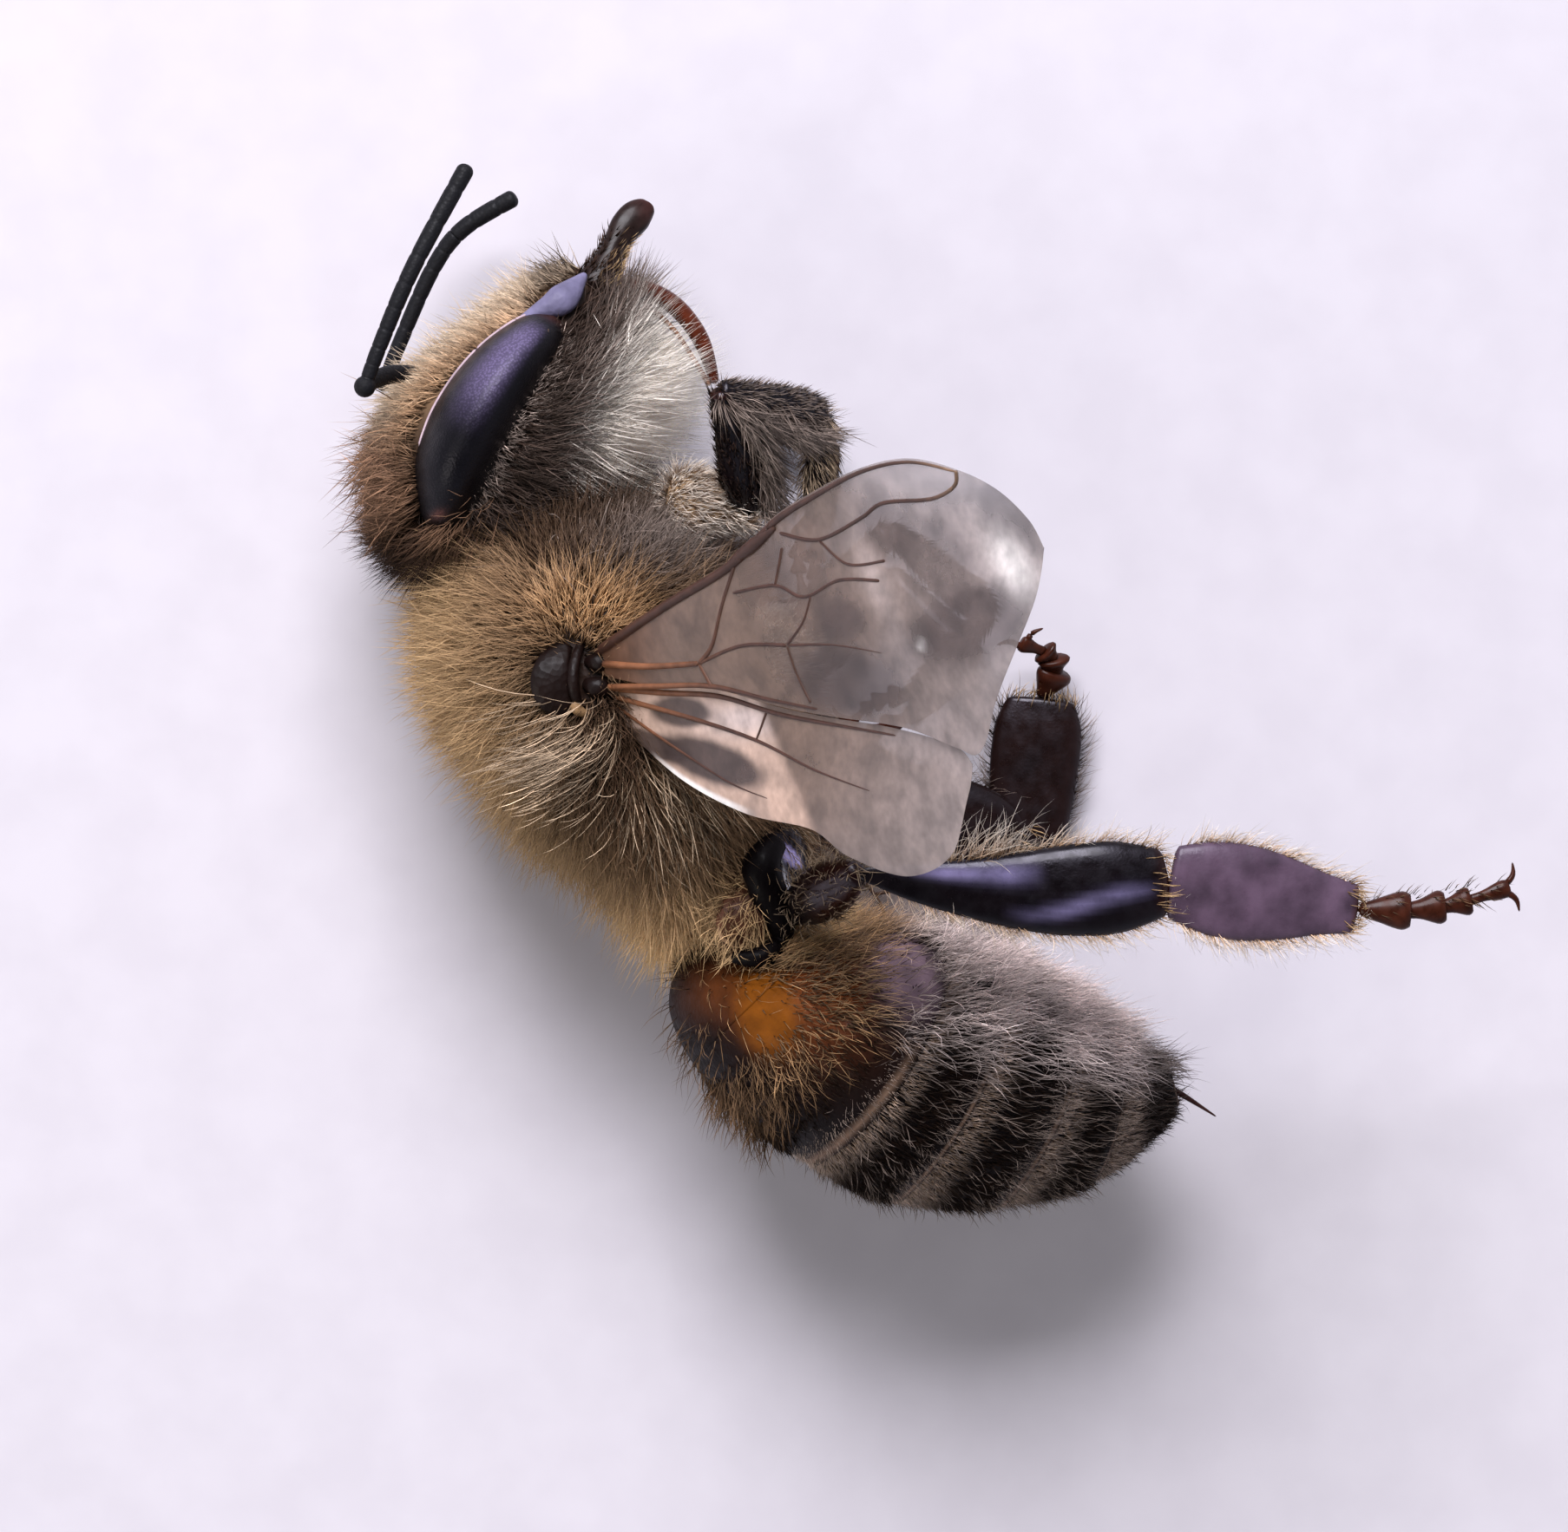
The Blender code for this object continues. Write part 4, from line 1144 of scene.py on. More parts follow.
def wing_film(lead, trail, place):
    """Closed film: half way round it runs back from the leading to the trailing edge underneath."""
    def form(u, v):
        front, back = smooth(lead, u), smooth(trail, u)
        share = (0.5 - 0.5 * np.cos(2 * np.pi * v))[..., None]
        flat = back + (front - back) * share
        above = FILM * np.sin(2 * np.pi * v) * np.ones_like(flat[..., 0])
        return place(flat[..., 0], flat[..., 1], above)
    return form


def raised_place(root, along, lead_way, under=0.0):
    """Carries span, across and height to the plane of a raised wing, or to one that lies under it."""
    facing = np.cross(along, lead_way)
    def place(span, across, above):
        bent = above + pleat(span, across) - under
        return root + span[..., None] * along + across[..., None] * lead_way + bent[..., None] * facing
    return place


def lying_place(root, angle, rest_z):
    """The same on the floor: the wing slopes down from its root and then lies flat."""
    along, lead_way = heading(angle), heading(angle + 90)
    def place(span, across, above):
        slope = rest_z + (root[2] - rest_z) * ramp(span, 2.2, -0.3)
        z = slope + np.abs(pleat(span, across)) * 0.5 + above + 0.08
        flat = root[:2] + span[..., None] * along[:2] + across[..., None] * lead_way[:2]
        return np.concatenate([flat, z[..., None]], axis=-1)
    return place


CREASE = np.array([(5.15, 1.15), (4.90, -1.85)])        # its two ends, in the plane of the wing


def creased(place):
    """Folds what lies beyond the crease back under the wing: its mirror image, a little lower."""
    way = unit(CREASE[1] - CREASE[0])
    square = np.array([-way[1], way[0]])
    def folded(span, across, above):
        beyond = (span - CREASE[0, 0]) * square[0] + (across - CREASE[0, 1]) * square[1]
        beyond = np.clip(beyond, 0, None)
        span, across = span - 2 * beyond * square[0], across - 2 * beyond * square[1]
        return place(span, across, above) - SIDE * (0.05 * ramp(beyond, 0.0, 0.05))[..., None]
    return folded


def vein_shells(veins, place):
    """Threads on the film, each through its points in the plane of the wing."""
    made = []
    for path, radius in veins:
        share = np.linspace(0, 1, 4 * len(path) - 3)
        span, across = smooth(path, share).T
        laid = place(span, across, np.zeros(len(share)))
        radius = smooth(radius, share) if np.ndim(radius) else radius
        made.append(shell(thread(laid, radius), 3 * len(share), 8))
    return made


# %% [markdown]
# The film is smoky and half clear. How much it hides is a number at each vertex, `veil`, which feeds
# its alpha. Dark ovals stand for what shines through the cells between the veins. Bright spots on the
# raised forewing, and the pale golden pane and bright streak at the hind wing's root, are painted glare.

# %% Wing finishes and colours
def film_finish():
    """Smoky film with blotches, clearer near the outer leading edge, with a silky gloss."""
    film = Finish("wing_film", coat_weight=0.12, coat_roughness=0.16, specular_ior_level=0.4, roughness=0.36)
    clouds, blotches, fine = film.noise(0.9, 3.0), film.noise(0.35, 2.0), film.noise(0.10, 2.0)
    shade = film.spread(clouds, 0.80, 1.12, 0.3, 0.7) * film.spread(blotches, 0.72, 1.12, 0.36, 0.60)
    shade = shade * film.spread(fine, 0.86, 1.08, 0.3, 0.7)
    veil = film.node("ShaderNodeAttribute", {"attribute_name": "veil"}, {}, "Fac")
    alpha = film.spread(veil * (1.15 - 0.3 * blotches), 0.0, 1.0, 0.0, 1.0)
    return film.out(base_color=film.shaded(shade), alpha=alpha, normal=film.bump(fine, 0.01, 0.2))


def vein_finish():
    """Brown horn of the veins, a little uneven."""
    vein = Finish("wing_vein", roughness=0.45, specular_ior_level=0.3)
    clouds = vein.noise(0.15)
    return vein.out(base_color=vein.mottled(clouds, 0.7, 1.2), normal=vein.bump(clouds, 0.004, 0.5))


def vein_tint(points, u, v):
    """Rusty at the root except along the leading edge, dark half way, and golden towards the tip."""
    away = points[..., :2] - WING_ROOT
    far = np.linalg.norm(away, axis=-1)
    rust = ramp(far, 1.6, 0.3) * ramp(away @ heading(-52.0)[:2] / (far + 0.1), 0.1, 0.4)
    colour = blend(VEIN_BROWN, FILM_RUST * 1.3, rust)
    return blend(colour, FAWN_FUR * 0.8, 0.7 * ramp(far, 3.6, 4.8))


FILM_FINISH, VEIN_FINISH = film_finish(), vein_finish()
FILM_SMOKE, FILM_RUST, FILM_PALE = paint(118, 98, 86), paint(112, 74, 52), paint(212, 194, 188)
FILM_GLARE_GOLD, FILM_GLARE, FILM_DUSK = paint(206, 176, 158), paint(255, 250, 246), paint(70, 58, 56)
FILM_MIST = paint(160, 147, 143)
WING_ROOT, ROOT_HEIGHT = (-0.09, 0.23), 1.75
# Dark ovals on the raised forewing: place, half length and half width, direction, depth.
FORE_OVALS = [((3.77, 0.62), (0.62, 0.36), 22, 0.8), ((3.42, 1.30), (0.42, 0.34), -40, 0.55),
              ((2.88, 1.62), (0.30, 0.22), -60, 0.6), ((2.43, 0.66), (0.22, 0.20), 0, 0.7),
              ((2.50, 0.02), (0.55, 0.32), -15, 0.75), ((1.90, 1.10), (0.45, 0.34), 0, 0.4),
              ((2.20, -0.85), (0.40, 0.40), 0, 0.5), ((3.30, -1.05), (0.45, 0.35), 0, 0.4),
              ((4.16, 1.72), (0.42, 0.20), -62, 0.6)]
HIND_OVALS = [((0.78, -0.28), (0.34, 0.17), -6, 0.9), ((1.10, -0.80), (0.62, 0.22), -20, 0.95),
              ((0.45, -0.62), (0.50, 0.14), -18, 0.9)]


def film_tint(shining):
    """Smoke-brown, rusty at the root and misty at the tip, with dark ovals and spots of painted glare.

    A shining wing has instead a pale golden pane of painted glare near its root, with a painted bright streak
    along its edge.
    """
    def tint(points, u, v):
        far = np.linalg.norm(points[..., :2] - WING_ROOT, axis=-1)
        colour = layered(FILM_SMOKE, (FILM_RUST, 0.7 * ramp(u, 0.14, 0.02)), (FILM_MIST, ramp(far, 2.0, 4.6)))
        if not shining:
            ovals = [(FILM_DUSK, depth * ramp(near(points, *where), 0.02, 0.60))
                     for *where, depth in FORE_OVALS]
            # The bright spots laid on here are painted glare on the film.
            return layered(colour, *ovals, (FILM_GLARE, 0.8 * near(points, (4.20, 1.22), (0.36, 0.16), -60)),
                           (FILM_PALE, 0.6 * near(points, (2.78, 1.08), (0.45, 0.12), -68)),
                           (FILM_GLARE, 0.7 * near(points, (3.26, 0.40), 0.045)))
        ovals = [(FILM_DUSK, depth * spot(points, *where)) for *where, depth in HIND_OVALS]
        # The pale golden pane and the bright streak along the leading edge are painted glare.
        pane = layered(FILM_GLARE_GOLD, (FILM_PALE, near(points, (1.45, -0.35), (0.5, 0.2))), *ovals)
        beyond = (points[..., :2] - (1.90, -0.90)) @ heading(23.0)[:2]
        leading = 0.5 + 0.5 * np.cos(2 * np.pi * v)
        streak = ramp(leading, 0.92, 0.97) * ramp(u, 0.14, 0.20) * ramp(u, 0.36, 0.30)
        inner = ramp(beyond, 0.06, -0.06) * ramp(u, 0.03, 0.10)
        return layered(colour, (pane, inner), (FILM_GLARE, streak))
    return tint


# %% Build the wings
def wing(word, lead, trail, veins, place, veil, shining=False):
    """Film and veins of one wing. veil is how much the film hides, at its root and at its tip."""
    cells = (160, 128) if word.endswith("right") else (80, 64)
    film = joined(f"film_{word}", [shell(wing_film(lead, trail, place), *cells)], film_tint(shining))
    declare(film, FILM_FINISH, "membrane", word)
    layer = film.data.attributes.new("veil", "FLOAT", "POINT")
    corners = np.empty(len(film.data.vertices) * 3, dtype=np.float32)
    film.data.vertices.foreach_get("co", corners)
    points = corners.reshape(-1, 3) / MM - ORIGIN
    far = np.linalg.norm(points - [*WING_ROOT, 0.0], axis=-1)
    clear = 0.4 * near(points, (3.45, 2.15), (1.1, 0.32), -8)
    veiled = (veil[0] + (veil[1] - veil[0]) * ramp(far, 2.0, 6.0)) * (1 - clear)
    layer.data.foreach_set("value", veiled.astype(np.float32))
    declare(joined(f"veins_{word}", vein_shells(veins, place), vein_tint), VEIN_FINISH, "membrane")


def make_wings():
    """The right pair is raised and the left pair lies on the floor with its tip creased under."""
    along = unit(np.array([0.51, 0.125, 0.851]))
    root, lead_way = np.array([*WING_ROOT, ROOT_HEIGHT]), unit(np.cross(SIDE, along))
    above, below = raised_place(root, along, lead_way), raised_place(root, along, lead_way, 0.05)
    wing("forewing_right", FORE_LEAD, FORE_TRAIL, FORE_VEINS, above, (0.78, 0.66))
    wing("hindwing_right", HIND_LEAD, HIND_TRAIL, HIND_VEINS, below, (0.86, 0.66), True)
    down = lying_place(np.array([*WING_ROOT, -ROOT_HEIGHT]), -45.0, FLOOR_Z)
    wing("forewing_left", FORE_LEAD, FORE_TRAIL, FORE_VEINS, creased(down), (0.72, 0.50))
    wing("hindwing_left", HIND_TUCKED_LEAD, HIND_TUCKED_TRAIL, HIND_VEINS[:1], down, (0.80, 0.55))


make_wings()

# %% [markdown]
# A dark scale covers each wing root. The sting shows as a needle past the tip of the abdomen.

# %% Wing root scales and sting
TEGULA_BROWN, SCLERITE_TAN = paint(26, 17, 15), paint(128, 102, 74)


def make_small_parts():
    """On each side a scale like a bent leaf with two knuckles behind it, and the sting in the middle."""
    for side, word in SIDES:
        leaf = [(-0.44, 0.44, 1.66, 0.09, 0.05), (-0.56, 0.22, 1.80, 0.18, 0.06),
                (-0.58, -0.02, 1.82, 0.21, 0.06), (-0.48, -0.24, 1.76, 0.15, 0.05),
                (-0.40, -0.36, 1.68, 0.06, 0.03)]
        ridge = [(-0.26, 0.46, 1.70, 0.04, 0.04), (-0.34, 0.20, 1.86, 0.06, 0.06),
                 (-0.34, -0.05, 1.88, 0.06, 0.06), (-0.26, -0.28, 1.74, 0.04, 0.04)]
        knuckles = [[(-0.20, 0.24, 1.70, 0.06, 0.06), (-0.08, 0.24, 1.80, 0.11, 0.10),
                     (0.06, 0.24, 1.80, 0.05, 0.05)],
                    [(-0.22, 0.02, 1.72, 0.06, 0.06), (-0.10, -0.02, 1.80, 0.12, 0.10),
                     (0.06, -0.10, 1.74, 0.05, 0.05)]]
        parts = (leaf, ridge, *knuckles)
        limbs = [shell(limb_form(mirrored(part, side), heading(10.0)), 32, 24) for part in parts]
        declare(joined(f"wing_scale_{word}", limbs, TEGULA_BROWN), BODY_HORN, "horn", f"tegula_{word}")
        chip = [(-0.36, -0.20, 1.84, 0.05, 0.04), (-0.30, -0.26, 1.86, 0.06, 0.05),
                (-0.22, -0.30, 1.82, 0.04, 0.04)]
        chip = limb_piece(f"wing_chip_{word}", mirrored(chip, side), heading(90.0), (12, 12), SCLERITE_TAN)
        declare(chip, SHELL, "horn")
    needle = [(5.70, -4.12, 0.0), (6.02, -4.29, 0.0), (6.38, -4.52, 0.0)]
    needle = joined("sting_needle", [shell(thread(needle, [0.05, 0.032, 0.008]), 24, 12)], JAW_TIP)
    declare(needle, AMBER, "horn", "sting")


make_small_parts()

# %% [markdown]
# ## The coat
#
# A bee's hair is short, dense and combed by the body's own form. Blender's hair curves would be lost in
# an export, so every hair is a real spike of mesh: three-sided, tapered, bent, and closed at both ends.
# Its path is the short parabola that starts one way and ends another. Roots are thrown at random on the
# same surface functions that made the skin, so no hair floats and none is missed.

# %% Plant roots on a surface
def plant(form, count, density, dice):
    """Shares u and v of random roots, chosen in proportion to the area of a place times its density."""
    cells = 160
    edges = np.linspace(0, 1, cells + 1)
    u, v = np.meshgrid(edges, edges, indexing="ij")
    corners = form(u, v)
    area = np.cross(corners[1:, :-1] - corners[:-1, :-1], corners[:-1, 1:] - corners[:-1, :-1])
    u, v = u[:-1, :-1] + 0.5 / cells, v[:-1, :-1] + 0.5 / cells
    weight = (np.linalg.norm(area, axis=-1) * density(form(u, v), u, v)).ravel()
    chosen = dice.choice(weight.size, count, p=weight / weight.sum())
    scatter = (dice.random((2, count)) - 0.5) / cells
    return u.ravel()[chosen] + scatter[0], v.ravel()[chosen] + scatter[1]


def outward(form, u, v):
    """Points of a surface and its normals: the cross product of the two slopes, turned outwards."""
    step = 1e-3
    points = form(u, v)
    slope_u = form(np.minimum(u + step, 1), v) - form(np.maximum(u - step, 0), v)
    slope_v = form(u, v + step) - form(u, v - step)
    normals = unit(np.cross(slope_u, slope_v))
    across = points - form(u, v + 0.5)
    return points, normals * np.sign(np.sum(normals * across, axis=-1, keepdims=True) + 1e-12)


# %% [markdown]
# Hair clings together in locks. Each lock has one hair as its leader, and its neighbours lean over
# until their tips come near the leader's tip. A lock also has a shade of its own, which draws the fine
# light and dark strokes of a real coat.

# %% Gather hair into locks
def leaders_of(roots, number, dice):
    """For each root, the nearest of a random few that lead the locks."""
    leaders = dice.choice(len(roots), min(number, len(roots)), replace=False)
    nearest = [np.argmin(((part[:, None] - roots[leaders]) ** 2).sum(-1), axis=1)
               for part in np.array_split(roots, max(1, len(roots) // 2000))]
    return leaders[np.concatenate(nearest)]


# %% Many hairs as one mesh
HAIR_FLOOR = FLOOR_Z + 0.03        # hair that meets the floor lies at this height


def spikes(name, roots, start, end, length, radius, root_tint, tip_tint, root_uv, rings):
    """Hairs as one mesh: p(t) = root + length (t start + t^2 / 2 (end - start)), with 0 <= t <= 1.

    Three corners stand round the path at each ring, nearer to it towards the tip, which is one point.
    All corners of a hair have the texture coordinates of its root, spread by very little.
    """
    t = np.arange(rings)[None, :, None] / rings
    turn = end - start
    middle = roots[:, None] + length[:, None, None] * (t * start[:, None] + t * t / 2 * turn[:, None])
    middle[..., 2] = np.maximum(middle[..., 2], HAIR_FLOOR)
    along = unit(start[:, None] + t * turn[:, None])
    one = unit(np.cross(along, [0.31, 0.22, 0.92]))
    other = np.cross(along, one)
    angle = 2 * np.pi * np.arange(3) / 3
    taper = radius[:, None, None] * (1 - 0.75 * t ** 1.5)
    round_path = one[:, :, None] * np.cos(angle)[:, None] + other[:, :, None] * np.sin(angle)[:, None]
    ring = middle[:, :, None] + taper[..., None] * round_path
    tip = roots + length[:, None] * (start + turn / 2)
    tip[:, 2] = np.maximum(tip[:, 2], HAIR_FLOOR)
    points = np.concatenate([ring.reshape(len(roots), -1, 3), tip[:, None]], axis=1)
    share = np.append(np.repeat(np.arange(rings) / rings, 3), 1.0)[None, :, None]
    tint = root_tint[:, None] * (1 - share) + tip_tint[:, None] * share
    corner = np.stack([np.append(np.tile([0.0, 0.5, 1.0], rings), 0.5), share[0, :, 0]], axis=-1)
    uv = root_uv[:, None] + 0.003 * (corner - 0.5)
    base = 3 * np.arange(rings - 1)[:, None]
    here, beside = base + np.arange(3), base + (np.arange(3) + 1) % 3
    halves = [np.stack([here, beside, beside + 3], -1), np.stack([here, beside + 3, here + 3], -1)]
    last = 3 * (rings - 1)
    ends = [[0, 2, 1]] + [[last + k, last + (k + 1) % 3, last + 3] for k in range(3)]
    one_hair = np.concatenate([np.concatenate(halves).reshape(-1, 3), ends])
    faces = (one_hair + points.shape[1] * np.arange(len(roots))[:, None, None]).reshape(-1, 3)
    return mesh_piece(name, points.reshape(-1, 3), faces, tint.reshape(-1, 3), uv.reshape(-1, 2), "OFBake")


# %% [markdown]
# A stretch of coat is one call of `grow`. It says on which surface, how many hairs, where, which way,
# how long, how steep and in what colours. The named values at its end say how unruly they are.

# %% Grow a stretch of coat
PIECE_LIMIT = 190000        # triangles in one coat piece
COAT_TOTAL = []             # triangles of each coat piece, to count the whole
SHORTEST_HAIR = 0.03        # millimetres


def grow(name, form, slot, seed, count, density, flow, length, lift, shades, locks=12, pull=0.6,
         droop=0.25, radius=0.010, rings=3, ragged=0.25, mess=0.18, contrast=0.22, curl=None, wave=0.0):
    """A stretch of coat on one surface.

    flow is the way the hair lies, lift its angle from the skin in degrees, and shades are its colours
    at the root and at the tip. Each of these and length may be one value for all or a function of the
    place. A hair starts a little steeper than lift and ends lower, by droop. locks is how many hairs
    share one, and pull how far they lean together. ragged varies the lengths, mess the directions and
    contrast the shades. curl adds a way in which the tips turn, and wave turns every tip at random.
    """
    dice = np.random.default_rng(seed)
    u, v = plant(form, count, density, dice)
    roots, normals = outward(form, u, v)

    def here(value):
        """A value at each root."""
        return value(roots, u, v) if callable(value) else value

    along = here(flow)
    along = unit(along - normals * np.sum(along * normals, axis=-1, keepdims=True))
    angle = np.radians(np.broadcast_to(here(lift), count))[:, None]
    way = unit(along * np.cos(angle) + normals * np.sin(angle) + mess * dice.normal(size=(count, 3)))
    long = here(length) * (1 + ragged * dice.normal(size=count).clip(-2, 2))
    long = np.maximum(long, SHORTEST_HAIR)
    leader = leaders_of(roots, max(1, count // locks), dice)
    tips = roots + way * long[:, None]
    end = way + pull * (tips[leader] - tips) / long[:, None] - droop * normals
    end = unit(end + wave * dice.normal(size=(count, 3)))
    start = unit(way + droop * normals)
    if curl:
        end = unit(end + curl(roots, u, v))
    shade = np.exp(contrast * (dice.normal(size=count) * 0.6 + dice.normal(size=count)[leader]))[:, None]
    root_tint, tip_tint = here(shades)
    thick = radius * (1 + 0.25 * dice.normal(size=count).clip(-2, 2))
    triangles = 6 * (rings - 1) + 4
    parts = -(-count * triangles // PIECE_LIMIT)
    hairs = [roots, start, end, long, thick, root_tint * shade, tip_tint * shade, np.stack([u, v], axis=-1)]
    for number, chosen in enumerate(np.array_split(np.argsort(u, kind="stable"), parts), start=1):
        piece_name = f"{name}_{number}" if parts > 1 else name
        declare(spikes(piece_name, *(each[chosen] for each in hairs), rings), HAIR, slot)
        COAT_TOTAL.append(len(chosen) * triangles)
    print(f"{name}: {count} hairs in {parts} pieces")


# %% [markdown]
# ## Hair of the thorax
#
# On the thorax the hair stands up like plush and fans out from the wing's root. It is brown at the root
# and golden at the tip. Long pale locks curl out from under the wing, and a rusty tuft sits by the neck.

# %% Thorax coat
WING_ROOT_SPOT = (-0.36, 0.05)


def showing(points):
    """1 on the flank that shows, and less underneath, where the bee lies on its coat."""
    return 0.30 + 0.70 * ramp(points[..., 2], -1.3, -0.3)


def thorax_flow(points, u, v):
    """Away from the wing's root, with a bias to the rear."""
    root = [WING_ROOT_SPOT[0], WING_ROOT_SPOT[1] + 0.2, 0.0] + 1.8 * SIDE * np.sign(points[:, 2:])
    fan = unit(points - root)
    fan = fan + 1.2 * ramp(points[:, :1], -0.5, -1.2) * ramp(points[:, 1:2], -1.2, -0.4) * heading(182.0)
    return fan + 0.30 * TO_REAR + 0.8 * near(points, (0.7, -1.3), 0.9)[:, None] * np.array([0.2, -0.8, 0.0])


def thorax_length(points, u, v):
    """Short round the wing's root and at the neck, long towards the abdomen."""
    short = 0.65 * near(points, WING_ROOT_SPOT, 0.42) + 0.45 * ramp(u, 0.16, 0.04)
    short = short + 0.4 * near(points, (-0.30, 1.60), (0.9, 0.50))
    return 0.60 * (1 - short.clip(0, 0.7)) + 0.22 * near(points, (0.8, -1.5), 0.8)


def down_length(points, u, v):
    """The down is the lower storey of the coat."""
    return 0.58 * thorax_length(points, u, v)


def thorax_shades(points, u, v):
    """Dark by the wing's root, the neck and under the locks, where the dark is partly painted shade; tan on
    the flank, golden along the back.
    """
    back = ramp(from_back(v), 0.46, 0.14)
    # dusk is dark hair together with painted shade under the locks and below the wing's root.
    dusk = np.max([near(points, WING_ROOT_SPOT, 0.42), spot(points, (-0.05, 1.55), (1.25, 0.62), -8.0),
                   spot(points, (0.38, 0.66), 0.34), near(points, (-0.10, -0.85), 0.66),
                   spot(points, (0.05, -0.38), 0.46)], axis=0)
    waist, glow = near(points, (0.40, -1.25), 0.58), near(points, (0.85, -2.35), (0.65, 0.50))
    rust, breast = near(points, (-0.18, 0.68), (0.40, 0.24)), near(points, (0.85, 1.85), (0.42, 0.40))
    root = layered(UMBER_FUR * 0.8, (TAN_FUR * 0.8, 0.6 * back),
                   (DARK_FUR * 0.7, np.maximum(dusk, 0.6 * waist)), (TAN_FUR * 1.1, glow),
                   (ORANGE_FUR * 0.4, 0.6 * rust), (TAN_FUR, 0.3 * breast))
    tip = layered(TAN_FUR, (GOLD_FUR * 1.1, 0.8 * back), (UMBER_FUR, 0.8 * waist),
                  (DARK_FUR * 1.2, 0.8 * dusk), (GOLD_FUR * 1.5, 0.9 * glow),
                  (GREY_FUR * 0.7, near(points, (0.45, 1.35), (0.55, 0.32))),
                  (blend(ORANGE_FUR, GOLD_FUR, 0.5) * 1.4, 0.9 * rust), (CREAM_FUR * 0.8, 0.4 * breast))
    return root, tip


def thorax_density(points, u, v):
    """None under the wing scale."""
    scale = ramp(np.abs(points[..., 2]), 1.0, 1.5) * ramp(near(points, (-0.36, 0.08), 0.40), 0.40, 0.65)
    return (1 - 0.97 * scale) * showing(points)


grow("thorax_down", thorax_form, "coat", 10, 42000, thorax_density, thorax_flow, down_length, 58,
     thorax_shades, locks=6, pull=0.2, radius=0.0080, rings=1, mess=0.35)
grow("thorax_coat", thorax_form, "coat", 11, 30500, thorax_density, thorax_flow, thorax_length, 56,
     thorax_shades, locks=7, pull=0.24, radius=0.0060, rings=2, mess=0.26, ragged=0.3, wave=0.25,
     contrast=0.12)


# %% Locks below the wing and curls behind the neck
def lock_density(points, u, v):
    """Only in two patches: below the wing's root, and further down towards the waist."""
    flank = ramp(points[..., 2], 0.5, 1.2)
    return flank * (near(points, (-0.28, -0.52), 0.40) ** 2 + 0.35 * near(points, (0.55, -0.85), 0.50) ** 2)


def lock_flow(points, u, v):
    """Fanned out from under the wing's root."""
    return unit(points - np.array([-0.25, 0.05, 1.6])) + heading(-100.0)


def lock_curl(points, u, v):
    """The locks hang down and then curl towards the back; those by the waist hardly curl."""
    by_waist = ramp(points[:, :1], -0.1, 0.4)
    return (1 - by_waist) * np.array([-1.6, 0.5, 0.1]) + by_waist * np.array([0.4, -0.4, 0.1])


def curl_density(points, u, v):
    """Only behind the neck."""
    return near(points, (0.30, 1.30), (0.85, 0.40)) ** 2 * showing(points)


grow("wing_root_locks", thorax_form, "coat", 12, 620, lock_density, lock_flow, 0.85, 40,
     (UMBER_FUR * 0.7, BLOND_FUR * 0.75), locks=6, pull=0.6, radius=0.0062, rings=6, curl=lock_curl,
     contrast=0.45, mess=0.28, wave=0.4)
grow("neck_curls", thorax_form, "coat", 13, 520, curl_density, thorax_flow, 0.50, 52,
     (DARK_FUR, GREY_FUR * 1.1), locks=3, pull=0.4, radius=0.0050, rings=5, mess=0.5, wave=1.2)

# %% [markdown]
# ## Hair of the head
#
# The face wears short tan hair that points up and out, and the crown long tufts that are red-brown on
# top and black towards the nape. The hair of the cheek streams back from the eye: it is short and
# nearly black beside the eye, long and grey-brown further back. Under the mouth hangs a cream-white
# beard.

# %% Where hair grows on the head
def under_eye(points):
    """1 where the eye or the bare cheek covers the skin."""
    away = points - HEAD_FROM_THORAX
    along, across = away @ EYE_ALONG, away @ EYE_ACROSS
    _, front, rear, _ = np.moveaxis(smooth(EYE_OVALS, np.clip((along + 1.25) / 2.55, 0, 1)), -1, 0)
    inside = ramp(across, rear + 0.06, rear + 0.18) * ramp(across, front + 0.10, front)
    eye = inside * ramp(np.abs(along), 1.36, 1.24)
    cheek = ramp(along, 1.15, 1.3) * ramp(np.abs(across + 0.02), 0.26, 0.16) * ramp(along, 2.0, 1.85)
    return np.maximum(eye, cheek) * ramp(np.abs(points[..., 2]), 0.45, 0.7)


def on_face(points, u, v):
    """The front of the head."""
    mouth, face = head_place(points)
    return ramp(face, 0.12, 0.35) * (1 - under_eye(points)) * ramp(mouth, 2.1, 1.7) * showing(points)


def on_crown(bare, full):
    """The top of the head, from no hair at bare to all of it at full, in millimetres towards the mouth."""
    def density(points, u, v):
        mouth, _ = head_place(points)
        return ramp(mouth, bare, full) * (1 - under_eye(points)) * showing(points)
    return density


def on_cheek(points, u, v):
    """Behind the eye, from the crown to the mouth."""
    mouth, face = head_place(points)
    behind = ramp(face, 0.25, -0.05) * ramp(mouth, -1.35, -0.95)
    return behind * (1 - under_eye(points)) * ramp(mouth, 1.85, 1.45) * showing(points)


def by_eye(points, u, v):
    """A narrow band along the rear edge of the eye."""
    mouth, face = head_place(points)
    band = ramp(face, 0.02, -0.06) * ramp(face, -0.42, -0.28)
    return band * ramp(mouth, -1.0, -0.8) * ramp(mouth, 1.2, 1.0) * showing(points)


# %% Lie, length and colour of the head's hair
FACE_FLOW = TO_FACE * 0.7 - TO_MOUTH * 0.35         # up over the face and a little back to the crown


